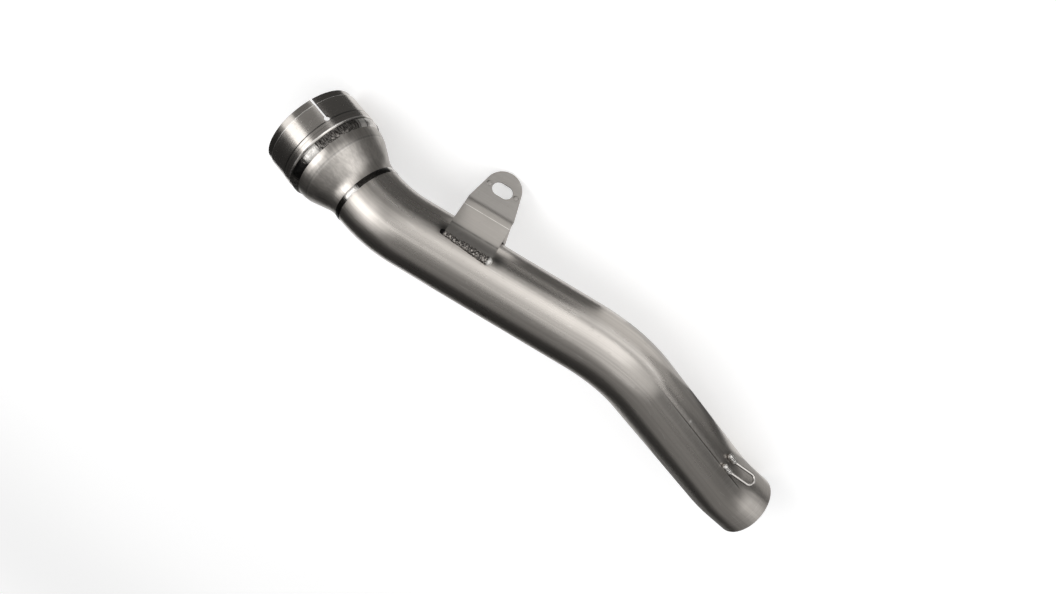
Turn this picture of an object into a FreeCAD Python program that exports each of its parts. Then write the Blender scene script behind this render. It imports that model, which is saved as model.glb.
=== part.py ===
import FreeCAD
import Part
import Sketcher
import math
import os

# Motorcycle link pipe that takes the place of a catalytic converter.
#
# A slotted clamp collar is welded to a spun reducer, the reducer to a bent tube of
# constant diameter. The tube carries a slotted two-sheet hanger and a wire spring hook.
#
# The pipe is drawn in a drawing frame: the main run starts at the origin and follows +X,
# the hanger stands up along +Z, and +Y points away from the viewer's side.
# At the end every piece is turned together into the pose in which the pipe lies on a
# floor, on the rim of the mouth, the rim of the outlet and the ear of the hanger.

SIZES = [
    ("tube_outer_diameter", 54.0, "bent tube, outside diameter"),
    ("tube_wall", 1.2, "bent tube and reducer, wall"),
    ("bend_radius", 100.0, "centre line radius of all three bends"),
    ("stub_run", 2.2, "straight between the neck joint and the first bend"),
    ("main_run", 147.0, "straight that carries the hanger"),
    ("outlet_run", 125.0, "straight that carries the spring hook"),
    ("tail_run", 18.0, "straight behind the last bend"),
    ("inlet_bend", 23.0, "angle of the first bend"),
    ("outlet_bend", 35.5, "angle of the second bend"),
    ("tail_bend", 13.7, "angle of the last bend, back towards the main run"),
    ("inlet_plane", 22.5, "turn of the first bend's plane about the main run"),
    ("outlet_plane", 106.0, "turn of the second bend's plane about the main run"),
    ("collar_length", 31.0, "clamp collar, from the mouth to the reducer"),
    ("collar_bore_radius", 36.1, "clamp collar, inside"),
    ("collar_sleeve_radius", 38.25, "clamp collar, outside"),
    ("lip_length", 5.3, "turned-down lip at the mouth"),
    ("lip_step", 0.75, "how much smaller the lip's radius is"),
    ("band_start", 21.4, "raised band behind the slots"),
    ("band_length", 5.9, "width of the raised band"),
    ("band_rise", 0.35, "height of the raised band"),
    ("tail_chamfer", 1.3, "length of the chamfer behind the band"),
    ("tail_drop", 0.35, "how much smaller the collar's welded end is"),
    ("slot_count", 3, "clamp slots round the mouth"),
    ("slot_width", 2.0, "clamp slot, width"),
    ("slot_reach", 19.1, "mouth to the centre of the relief hole"),
    ("relief_diameter", 4.4, "relief hole at the end of a slot"),
    ("slot_clock", 101.0, "first slot, turned from the inside of the first bend"),
    ("reducer_radius", 36.9, "reducer, large end"),
    ("land_length", 11.5, "reducer, nearly straight land"),
    ("land_drop", 0.6, "fall of the radius along the land"),
    ("cone_length", 20.0, "reducer, cone"),
    ("neck_length", 7.0, "reducer, straight neck"),
    ("shoulder_blend", 24.0, "radius between land and cone"),
    ("neck_blend", 20.0, "radius between cone and neck"),
    ("collar_bead_lap", 2.2, "collar weld, width on the collar"),
    ("collar_bead_reach", 4.8, "collar weld, width on the reducer"),
    ("collar_bead_crown", 7.5, "collar weld, radius of its rounded face"),
    ("neck_bead_half", 2.2, "neck weld, half its width"),
    ("neck_bead_crown", 4.8, "neck weld, radius of its rounded face"),
    ("sheet_thickness", 1.5, "both sheets of the hanger"),
    ("bracket_station", 42.0, "end of the first bend to the middle of the hanger"),
    ("ear_height", 62.8, "tube axis to the centre of the mounting slot"),
    ("ear_radius", 14.7, "round ear of the hanger"),
    ("ear_slot_length", 16.5, "mounting slot, end to end"),
    ("ear_slot_width", 10.5, "mounting slot, width"),
    ("brace_width", 38.8, "front sheet, width of the leg"),
    ("kink_height", 45.0, "height where the tapered ear meets the parallel leg"),
    ("leg_angle", 38.0, "front leg, turned out of the ear's plane"),
    ("leg_bend_radius", 8.0, "front leg, inside radius of its upper bend"),
    ("foot_clock", 74.0, "end of the foot, turned from the ear's plane about the tube"),
    ("plate_heel", 22.6, "rear sheet, reach of its tapered edge at the tube"),
    ("dimple_spacing", 22.6, "distance between the two locating dimples"),
    ("dimple_diameter", 3.6, "locating dimple"),
    ("dimple_rise", 0.4, "height of a dimple over the sheet"),
    ("foot_bead_overhang", 1.0, "foot weld, centre of its start outside the sheet's edge"),
    ("foot_bead_start_radius", 2.3, "foot weld, where it begins"),
    ("foot_bead_end_radius", 3.6, "foot weld, where it ends"),
    ("foot_bead_start_clock", 75.0, "foot weld, turn of its thin end about the tube"),
    ("foot_bead_end_clock", 79.5, "foot weld, turn of its thick end about the tube"),
    ("foot_bead_sink", 0.5, "how far the foot weld's axis lies inside the tube's skin"),
    ("heel_bead_radius", 2.6, "rear sheet's weld"),
    ("heel_bead_margin", 3.0, "rear weld, kept back from the sheet's ends"),
    ("wire_diameter", 2.5, "spring hook wire"),
    ("hook_gap", 9.5, "distance between the hook's two legs"),
    ("hook_leg", 7.0, "welded length of a leg"),
    ("hook_rise_angle", 32.0, "angle of the raised loop"),
    ("hook_reach", 16.0, "straight part of the raised loop"),
    ("hook_knee_radius", 5.0, "bend between leg and loop"),
    ("hook_setback", 27.0, "ends of the legs to the start of the last bend"),
    ("hook_clock", 5.0, "hook, turned from the inside of the last bend"),
    ("hook_bead_radius", 2.3, "hook welds"),
    ("hook_bead_length", 7.0, "hook welds, between the centres of their round ends"),
]

ALONG = FreeCAD.Vector(1.0, 0.0, 0.0)
BACK = FreeCAD.Vector(0.0, 1.0, 0.0)
UP = FreeCAD.Vector(0.0, 0.0, 1.0)
ORIGIN = FreeCAD.Vector(0.0, 0.0, 0.0)
SETTLING_STEPS = 40
NOTHING = 1e-9

doc = FreeCAD.newDocument("LinkPipe")
sheet = doc.addObject("Spreadsheet::Sheet", "Sizes")
sub_parts = []
beads = []


def fill_sheet():
    """Write each size with its alias and its meaning into the sheet."""
    for row, (alias, value, meaning) in enumerate(SIZES, start=1):
        sheet.set("A%d" % row, meaning)
        sheet.set("B%d" % row, str(value))
        sheet.setAlias("B%d" % row, alias)
    doc.recompute()


def value_of(alias):
    """Return the number that the sheet holds under an alias."""
    return float(sheet.get(alias))


class Length:
    """A size from the sheet, or one worked out from such sizes, with its formula."""

    def __init__(self, formula, value):
        self.formula = formula
        self.value = value

    def joined(self, sign, other, value):
        """Return the length whose formula joins this one and another."""
        return Length("(%s %s %s)" % (self.formula, sign, other.formula), value)

    def __add__(self, other):
        other = as_length(other)
        return self.joined("+", other, self.value + other.value)

    def __sub__(self, other):
        other = as_length(other)
        return self.joined("-", other, self.value - other.value)

    def __mul__(self, other):
        other = as_length(other)
        return self.joined("*", other, self.value * other.value)

    def __truediv__(self, other):
        other = as_length(other)
        return self.joined("/", other, self.value / other.value)

    def __neg__(self):
        return Length("(0 - %s)" % self.formula, -self.value)


def as_length(item):
    """Return a plain number as a length."""
    if isinstance(item, Length):
        return item
    return Length(repr(item), float(item))


def size(alias):
    """Return a driving size as a length that a constraint can follow."""
    return Length("Sizes.%s" % alias, value_of(alias))


def bind(item, field, length):
    """Bind one property of an object to a length."""
    item.setExpression(field, length.formula)


def along_x(height=0.0):
    """Return the turn that lays a primitive's own axis along +X."""
    return FreeCAD.Placement(FreeCAD.Vector(height, 0.0, 0.0), FreeCAD.Rotation(BACK, 90.0))


def turned_about_x(degrees, vector):
    """Return a vector turned about the tube's axis, from the ear's plane to the viewer."""
    return FreeCAD.Rotation(ALONG, degrees).multVec(vector)


# Sketches

def new_body(name):
    """Return an empty body."""
    return doc.addObject("PartDesign::Body", name)


def origin_feature(body, role):
    """Return one plane or axis of a body's own origin."""
    for feature in body.Origin.OriginFeatures:
        if feature.Role == role:
            return feature
    raise ValueError("no origin feature %s" % role)


def new_sketch(body, role, name):
    """Return a sketch that lies on one of a body's origin planes."""
    sketch = body.newObject("Sketcher::SketchObject", name)
    sketch.AttachmentSupport = [(origin_feature(body, role), "")]
    sketch.MapMode = "FlatFace"
    return sketch


def hold_point(sketch, edge, end, across, upward):
    """Tie one end of an edge to its distances from the sketch's axes."""
    for kind, axis, length in (("DistanceX", -2, across), ("DistanceY", -1, upward)):
        if abs(length.value) < NOTHING:
            sketch.addConstraint(Sketcher.Constraint("PointOnObject", edge, end, axis))
            continue
        if length.value > 0.0:
            index = sketch.addConstraint(Sketcher.Constraint(kind, -1, 1, edge, end, length.value))
            bind(sketch, "Constraints[%d]" % index, length)
            continue
        index = sketch.addConstraint(Sketcher.Constraint(kind, edge, end, -1, 1, -length.value))
        bind(sketch, "Constraints[%d]" % index, -length)


def hold_value(sketch, constraint, length):
    """Add a dimension and bind it to a length."""
    index = sketch.addConstraint(constraint)
    bind(sketch, "Constraints[%d]" % index, length)


def point(across, upward):
    """Return a sketch point from two lengths."""
    return FreeCAD.Vector(across.value, upward.value, 0.0)


def arc_between(first, last, radius):
    """Return the short arc from first to last that bulges to the right of the way."""
    chord = last - first
    half = chord.Length / 2.0
    depth = math.sqrt(radius * radius - half * half)
    left = FreeCAD.Vector(-chord.y, chord.x, 0.0).normalize()
    centre = (first + last) * 0.5 + left * depth
    crown = centre - left * radius
    return Part.Arc(first, crown, last)


def closed_outline(sketch, corners, arcs=None):
    """Draw a closed outline through corners given as pairs of lengths.

    arcs maps the number of an edge to the radius length of the arc that replaces it.
    """
    arcs = arcs or {}
    count = len(corners)
    first = sketch.GeometryCount
    for number in range(count):
        start = point(*corners[number])
        end = point(*corners[(number + 1) % count])
        if number in arcs:
            sketch.addGeometry(arc_between(start, end, arcs[number].value), False)
        else:
            sketch.addGeometry(Part.LineSegment(start, end), False)
    for number in range(count):
        here = first + number
        following = first + (number + 1) % count
        sketch.addConstraint(Sketcher.Constraint("Coincident", here, 2, following, 1))
    for number in range(count):
        hold_point(sketch, first + number, 1, *corners[number])
    for number, radius in arcs.items():
        hold_value(sketch, Sketcher.Constraint("Radius", first + number, radius.value), radius)


def circle_outline(sketch, across, upward, radius):
    """Draw a circle."""
    centre = point(across, upward)
    edge = sketch.addGeometry(Part.Circle(centre, FreeCAD.Vector(0, 0, 1), radius.value), False)
    hold_point(sketch, edge, 3, across, upward)
    hold_value(sketch, Sketcher.Constraint("Radius", edge, radius.value), radius)


def slot_outline(sketch, upward, length, width):
    """Draw a lying slot whose middle is on the sketch's upright axis."""
    radius = width / 2.0
    reach = (length - width) / 2.0
    normal = FreeCAD.Vector(0, 0, 1)
    right = Part.Circle(point(reach, upward), normal, radius.value)
    left = Part.Circle(point(-reach, upward), normal, radius.value)
    quarter = math.pi / 2.0
    right_end = sketch.addGeometry(Part.ArcOfCircle(right, -quarter, quarter), False)
    left_end = sketch.addGeometry(Part.ArcOfCircle(left, quarter, 3.0 * quarter), False)
    above = upward + radius
    below = upward - radius
    top = sketch.addGeometry(Part.LineSegment(point(reach, above), point(-reach, above)), False)
    base = sketch.addGeometry(Part.LineSegment(point(-reach, below), point(reach, below)), False)
    sketch.addConstraint(Sketcher.Constraint("Tangent", right_end, 2, top, 1))
    sketch.addConstraint(Sketcher.Constraint("Tangent", top, 2, left_end, 1))
    sketch.addConstraint(Sketcher.Constraint("Tangent", left_end, 2, base, 1))
    sketch.addConstraint(Sketcher.Constraint("Tangent", base, 2, right_end, 1))
    sketch.addConstraint(Sketcher.Constraint("Equal", right_end, left_end))
    hold_point(sketch, right_end, 3, reach, upward)
    hold_point(sketch, left_end, 3, -reach, upward)
    hold_value(sketch, Sketcher.Constraint("Radius", right_end, radius.value), radius)


def ear_outline(sketch, base_corners):
    """Draw a sheet's outline: base corners from right to left, closed by the round ear.

    The edges that leave the first and the last corner run tangent into the ear.
    """
    centre_height = size("ear_height")
    radius = size("ear_radius")
    centre = FreeCAD.Vector(0.0, centre_height.value, 0.0)
    right_touch = ear_touch(point(*base_corners[-1]), centre, radius.value, 1.0)
    left_touch = ear_touch(point(*base_corners[0]), centre, radius.value, -1.0)
    first = sketch.GeometryCount
    for start, end in zip(base_corners, base_corners[1:]):
        sketch.addGeometry(Part.LineSegment(point(*start), point(*end)), False)
    right_edge = sketch.addGeometry(Part.LineSegment(point(*base_corners[-1]), right_touch), False)
    crown = centre + FreeCAD.Vector(0.0, radius.value, 0.0)
    ear = sketch.addGeometry(Part.Arc(right_touch, crown, left_touch), False)
    left_edge = sketch.addGeometry(Part.LineSegment(left_touch, point(*base_corners[0])), False)
    for edge in range(first, right_edge):
        sketch.addConstraint(Sketcher.Constraint("Coincident", edge, 2, edge + 1, 1))
    sketch.addConstraint(Sketcher.Constraint("Coincident", left_edge, 2, first, 1))
    sketch.addConstraint(Sketcher.Constraint("Tangent", right_edge, 2, ear, 1))
    sketch.addConstraint(Sketcher.Constraint("Tangent", ear, 2, left_edge, 1))
    for number, corner in enumerate(base_corners):
        hold_point(sketch, first + number, 1, *corner)
    hold_point(sketch, ear, 3, as_length(0.0), centre_height)
    hold_value(sketch, Sketcher.Constraint("Radius", ear, radius.value), radius)


def ear_touch(corner, centre, radius, side):
    """Return where the tangent from a corner touches the ear, on the right (1) or left (-1)."""
    gap = corner - centre
    distance = gap.Length
    bearing = math.atan2(gap.y, gap.x)
    spread = math.acos(radius / distance)
    angle = bearing + side * spread
    return centre + FreeCAD.Vector(math.cos(angle), math.sin(angle), 0.0) * radius


# Features

def revolve(body, sketch, name):
    """Revolve a sketch about the body's upright axis."""
    feature = body.newObject("PartDesign::Revolution", name)
    feature.Profile = sketch
    feature.ReferenceAxis = (sketch, ["V_Axis"])
    feature.Angle = 360.0
    doc.recompute()
    return feature


def pocket(body, sketch, name, through=True, length=None):
    """Cut a sketch out of a body and make sure that it takes material away."""
    before = body.Shape.Volume
    feature = body.newObject("PartDesign::Pocket", name)
    feature.Profile = sketch
    if through:
        feature.Type = "ThroughAll"
        feature.Midplane = True
    else:
        feature.Type = "Length"
        feature.Reversed = True
        bind(feature, "Length", length)
    doc.recompute()
    if body.Shape.Volume >= before:
        raise RuntimeError("%s cuts nothing" % name)
    return feature


def ring_edges(shape, height, radius):
    """Return the names of the round edges with a given height and radius."""
    names = []
    for number, edge in enumerate(shape.Edges, start=1):
        curve = edge.Curve
        if not isinstance(curve, Part.Circle):
            continue
        same_height = abs(curve.Center.z - height) < 0.01
        same_radius = abs(curve.Radius - radius) < 0.01
        if same_height and same_radius:
            names.append("Edge%d" % number)
    if not names:
        raise RuntimeError("no edge at height %.2f" % height)
    return names


def round_ring(body, name, height, radius, blend):
    """Round one ring edge of a body."""
    base = body.Tip
    feature = body.newObject("PartDesign::Fillet", name)
    feature.Base = (base, ring_edges(base.Shape, height.value, radius.value))
    bind(feature, "Radius", blend)
    doc.recompute()


def cut_away(name, base, tool):
    """Return the first object less the second."""
    result = doc.addObject("Part::Cut", name)
    result.Base = base
    result.Tool = tool
    return result


def rod(name, radius, length, placement):
    """Return a round bar whose axis starts at a placement."""
    bar = doc.addObject("Part::Cylinder", name)
    bind(bar, "Radius", radius)
    bind(bar, "Height", length)
    bar.Placement = placement
    return bar


def ball(name, radius, centre):
    """Return a ball."""
    item = doc.addObject("Part::Sphere", name)
    bind(item, "Radius", radius)
    item.Placement = FreeCAD.Placement(centre, FreeCAD.Rotation())
    return item


def block(name, long_side, deep_side, tall_side, placement):
    """Return a box."""
    item = doc.addObject("Part::Box", name)
    bind(item, "Length", long_side)
    bind(item, "Width", deep_side)
    bind(item, "Height", tall_side)
    item.Placement = placement
    return item


def joined(name, pieces):
    """Return several objects as one."""
    result = doc.addObject("Part::MultiFuse", name)
    result.Shapes = pieces
    return result


def keep(item, label, placement):
    """Record an object as a sub-part, with its label and its place in the drawing frame."""
    item.Label = label
    sub_parts.append((item, placement))


def keep_bead(item, placement):
    """Put one weld bead in its place in the drawing frame and record it with the others."""
    item.Placement = placement
    beads.append(item)


# Centre line

def bend_side(plane_angle):
    """Return the side to which a bend of the main run turns."""
    angle = math.radians(plane_angle)
    return FreeCAD.Vector(0.0, math.sin(angle), math.cos(angle))


def bend_points(start, heading, side, angle_degrees, radius):
    """Return the middle, the end and the new heading of a bend."""
    def at(angle):
        return start + heading * (radius * math.sin(angle)) + side * (radius * (1.0 - math.cos(angle)))

    angle = math.radians(angle_degrees)
    new_heading = heading * math.cos(angle) + side * math.sin(angle)
    return at(angle / 2.0), at(angle), new_heading


def square_to(side, heading):
    """Return the part of a direction that is square to a heading, with length 1."""
    return (side - heading * side.dot(heading)).normalize()


def centre_line():
    """Return the named points and headings of the pipe's centre line."""
    radius = value_of("bend_radius")
    neck_reach = value_of("land_length") + value_of("cone_length") + value_of("neck_length")
    line = {"main_start": ORIGIN}

    inlet_side = bend_side(value_of("inlet_plane"))
    middle, start, backwards = bend_points(ORIGIN, ALONG * -1.0, inlet_side, value_of("inlet_bend"), radius)
    line["inlet_bend_middle"] = middle
    line["inlet_bend_start"] = start
    line["inlet_heading"] = backwards * -1.0
    line["inlet_side"] = square_to(inlet_side, line["inlet_heading"])
    line["neck"] = start + backwards * value_of("stub_run")
    line["collar_end"] = line["neck"] + backwards * neck_reach
    line["mouth"] = line["collar_end"] + backwards * value_of("collar_length")

    outlet_side = bend_side(value_of("outlet_plane"))
    line["main_end"] = ALONG * value_of("main_run")
    middle, end, heading = bend_points(line["main_end"], ALONG, outlet_side, value_of("outlet_bend"), radius)
    line["outlet_bend_middle"] = middle
    line["outlet_start"] = end
    line["outlet_heading"] = heading
    line["tail_side"] = square_to(outlet_side, heading) * -1.0
    line["outlet_end"] = end + heading * value_of("outlet_run")

    middle, end, heading = bend_points(
        line["outlet_end"], heading, line["tail_side"], value_of("tail_bend"), radius)
    line["tail_bend_middle"] = middle
    line["tail_start"] = end
    line["tail_heading"] = heading
    line["outlet"] = end + heading * value_of("tail_run")
    return line


def frame_at(origin, across, heading):
    """Return the placement whose X is across and whose Z is the heading."""
    return FreeCAD.Placement(origin, FreeCAD.Rotation(across, heading.cross(across), heading, "ZXY"))


# Inlet collar and reducer

def collar_place(line):
    """Return the place of the pieces that turn round the inlet's axis."""
    return frame_at(line["mouth"], line["inlet_side"], line["inlet_heading"])


def make_inlet_collar(line):
    """Turned clamp collar: lip, sleeve, raised band, chamfered weld end and keyhole slots."""
    body = new_body("InletCollar")
    sleeve = size("collar_sleeve_radius")
    lip = sleeve - size("lip_step")
    band = sleeve + size("band_rise")
    welded_end = sleeve - size("tail_drop")
    band_end = size("band_start") + size("band_length")
    wall = new_sketch(body, "XZ_Plane", "CollarWall")
    closed_outline(wall, [
        (size("collar_bore_radius"), as_length(0.0)),
        (lip, as_length(0.0)),
        (lip, size("lip_length")),
        (sleeve, size("lip_length")),
        (sleeve, size("band_start")),
        (band, size("band_start")),
        (band, band_end),
        (welded_end, band_end + size("tail_chamfer")),
        (welded_end, size("collar_length")),
        (size("collar_bore_radius"), size("collar_length")),
    ])
    revolve(body, wall, "CollarTurned")

    half = size("slot_width") / 2.0
    run_out = size("slot_width")
    slit = new_sketch(body, "YZ_Plane", "SlitOutline")
    closed_outline(slit, [
        (-half, -run_out),
        (half, -run_out),
        (half, size("slot_reach")),
        (-half, size("slot_reach")),
    ])
    cut_depth = band + size("slot_width")
    slit_cut = pocket(body, slit, "SlitCut", through=False, length=cut_depth)
    relief = new_sketch(body, "YZ_Plane", "ReliefOutline")
    circle_outline(relief, as_length(0.0), size("slot_reach"), size("relief_diameter") / 2.0)
    relief_cut = pocket(body, relief, "ReliefCut", through=False, length=cut_depth)

    pattern = body.newObject("PartDesign::PolarPattern", "SlotsRound")
    pattern.Originals = [slit_cut, relief_cut]
    pattern.Axis = (origin_feature(body, "Z_Axis"), [""])
    pattern.Angle = 360.0
    bind(pattern, "Occurrences", size("slot_count"))
    body.Tip = pattern
    doc.recompute()
    turn = FreeCAD.Placement(ORIGIN, FreeCAD.Rotation(UP, value_of("slot_clock")))
    keep(body, "inlet_collar", collar_place(line).multiply(turn))


def make_reducer(line):
    """Spun reducer: land, blended cone and neck, one wall thick."""
    body = new_body("Reducer")
    wall = size("tube_wall")
    large = size("reducer_radius")
    shoulder = large - size("land_drop")
    neck = size("tube_outer_diameter") / 2.0
    shoulder_height = size("land_length")
    neck_height = shoulder_height + size("cone_length")
    full_height = neck_height + size("neck_length")
    outline = new_sketch(body, "XZ_Plane", "ReducerWall")
    closed_outline(outline, [
        (large - wall, as_length(0.0)),
        (large, as_length(0.0)),
        (shoulder, shoulder_height),
        (neck, neck_height),
        (neck, full_height),
        (neck - wall, full_height),
        (neck - wall, neck_height),
        (shoulder - wall, shoulder_height),
    ])
    revolve(body, outline, "ReducerSpun")
    round_ring(body, "ShoulderOutside", shoulder_height, shoulder, size("shoulder_blend"))
    round_ring(body, "ShoulderInside", shoulder_height, shoulder - wall, size("shoulder_blend") - wall)
    round_ring(body, "NeckOutside", neck_height, neck, size("neck_blend"))
    round_ring(body, "NeckInside", neck_height, neck - wall, size("neck_blend") + wall)
    keep(body, "reducer_cone", frame_at(line["collar_end"], line["inlet_side"], line["inlet_heading"]))


def make_collar_weld(line):
    """Rounded bead that closes the corner between the collar's end and the reducer."""
    body = new_body("CollarWeld")
    joint = size("collar_length")
    large = size("reducer_radius")
    welded_end = size("collar_sleeve_radius") - size("tail_drop")
    taper = size("land_drop") / size("land_length")
    reach = size("collar_bead_reach")
    section = new_sketch(body, "XZ_Plane", "CollarBead")
    closed_outline(section, [
        (large - taper * reach, joint + reach),
        (large, joint),
        (welded_end, joint),
        (welded_end, joint - size("collar_bead_lap")),
    ], {3: size("collar_bead_crown")})
    revolve(body, section, "CollarBeadRing")
    keep_bead(body, collar_place(line))


def make_neck_weld(line):
    """Low ring bead over the joint between reducer and tube."""
    body = new_body("NeckWeld")
    neck = size("tube_outer_diameter") / 2.0
    half = size("neck_bead_half")
    section = new_sketch(body, "XZ_Plane", "NeckBead")
    joint = size("collar_length") + size("land_length") + size("cone_length") + size("neck_length")
    closed_outline(section, [
        (neck, joint + half),
        (neck, joint - half),
    ], {1: size("neck_bead_crown")})
    revolve(body, section, "NeckBeadRing")
    keep_bead(body, collar_place(line))


# Bent tube

def swept_round(runs, outer_radius, inner_radius=0.0):
    """Return a round bar or tube that follows tangent runs.

    A run is a pair of points for a straight, or three points for an arc.
    """
    pieces = []
    for run in runs:
        start = run[0]
        if len(run) == 2:
            way = run[1] - start
            section = ring_face(start, way, outer_radius, inner_radius)
            pieces.append(section.extrude(way))
            continue
        circle = Part.Arc(*run).toShape().Curve
        to_start = start - circle.Center
        to_end = run[2] - circle.Center
        section = ring_face(start, circle.Axis.cross(to_start), outer_radius, inner_radius)
        angle = math.degrees(to_start.getAngle(to_end))
        pieces.append(section.revolve(circle.Center, circle.Axis, angle))
    return pieces[0].multiFuse(pieces[1:])


def ring_face(centre, normal, outer_radius, inner_radius):
    """Return a disc, or a ring when there is an inner radius."""
    disc = Part.Face(Part.Wire(Part.makeCircle(outer_radius, centre, normal)))
    if inner_radius < NOTHING:
        return disc
    return disc.cut(Part.Face(Part.Wire(Part.makeCircle(inner_radius, centre, normal))))


def length_of(runs):
    """Return the length of tangent runs."""
    total = 0.0
    for run in runs:
        if len(run) == 2:
            total += (run[1] - run[0]).Length
        else:
            total += Part.Arc(*run).length()
    return total


def check_sweep(shape, runs, section):
    """Make sure that a swept shape holds as much as its section and length say."""
    if abs(shape.Volume - section * length_of(runs)) > 0.001 * shape.Volume:
        raise RuntimeError("a sweep's volume doesn't match its section and length")


def make_main_tube(line):
    """Tube with three bends: a ring section carried along straights and tangent arcs."""
    runs = [
        (line["neck"], line["inlet_bend_start"]),
        (line["inlet_bend_start"], line["inlet_bend_middle"], line["main_start"]),
        (line["main_start"], line["main_end"]),
        (line["main_end"], line["outlet_bend_middle"], line["outlet_start"]),
        (line["outlet_start"], line["outlet_end"]),
        (line["outlet_end"], line["tail_bend_middle"], line["tail_start"]),
        (line["tail_start"], line["outlet"]),
    ]
    outer_radius = value_of("tube_outer_diameter") / 2.0
    inner_radius = outer_radius - value_of("tube_wall")
    tube = doc.addObject("Part::Feature", "MainTube")
    tube.Shape = swept_round(runs, outer_radius, inner_radius)
    check_sweep(tube.Shape, runs, math.pi * (outer_radius ** 2 - inner_radius ** 2))
    keep(tube, "main_tube", FreeCAD.Placement())


# Hanger

def bracket_place():
    """Return the place of the hanger's pieces: its own origin is on the tube's axis."""
    return FreeCAD.Placement(ALONG * value_of("bracket_station"), FreeCAD.Rotation())


def make_bracket_plate():
    """Flat rear sheet: round slotted ear, tapered edge and a saddle cut to the tube."""
    body = new_body("PlateSheet")
    half_width = size("brace_width") / 2.0
    tube_radius = size("tube_outer_diameter") / 2.0
    foot = tube_radius - size("sheet_thickness")
    outline = new_sketch(body, "XZ_Plane", "PlateOutline")
    ear_outline(outline, [
        (-half_width, size("kink_height")),
        (-half_width, foot),
        (size("plate_heel"), foot),
    ])
    pad = body.newObject("PartDesign::Pad", "PlatePad")
    pad.Profile = outline
    pad.Reversed = True
    bind(pad, "Length", size("sheet_thickness"))
    doc.recompute()
    slot = new_sketch(body, "XZ_Plane", "PlateSlot")
    slot_outline(slot, size("ear_height"), size("ear_slot_length"), size("ear_slot_width"))
    pocket(body, slot, "PlateSlotCut")
    span = size("brace_width") * 2.0
    saddle = rod("PlateSaddle", tube_radius, span, along_x(-span.value / 2.0))
    keep(cut_away("BracketPlate", body, saddle), "bracket_plate", bracket_place())


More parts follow.
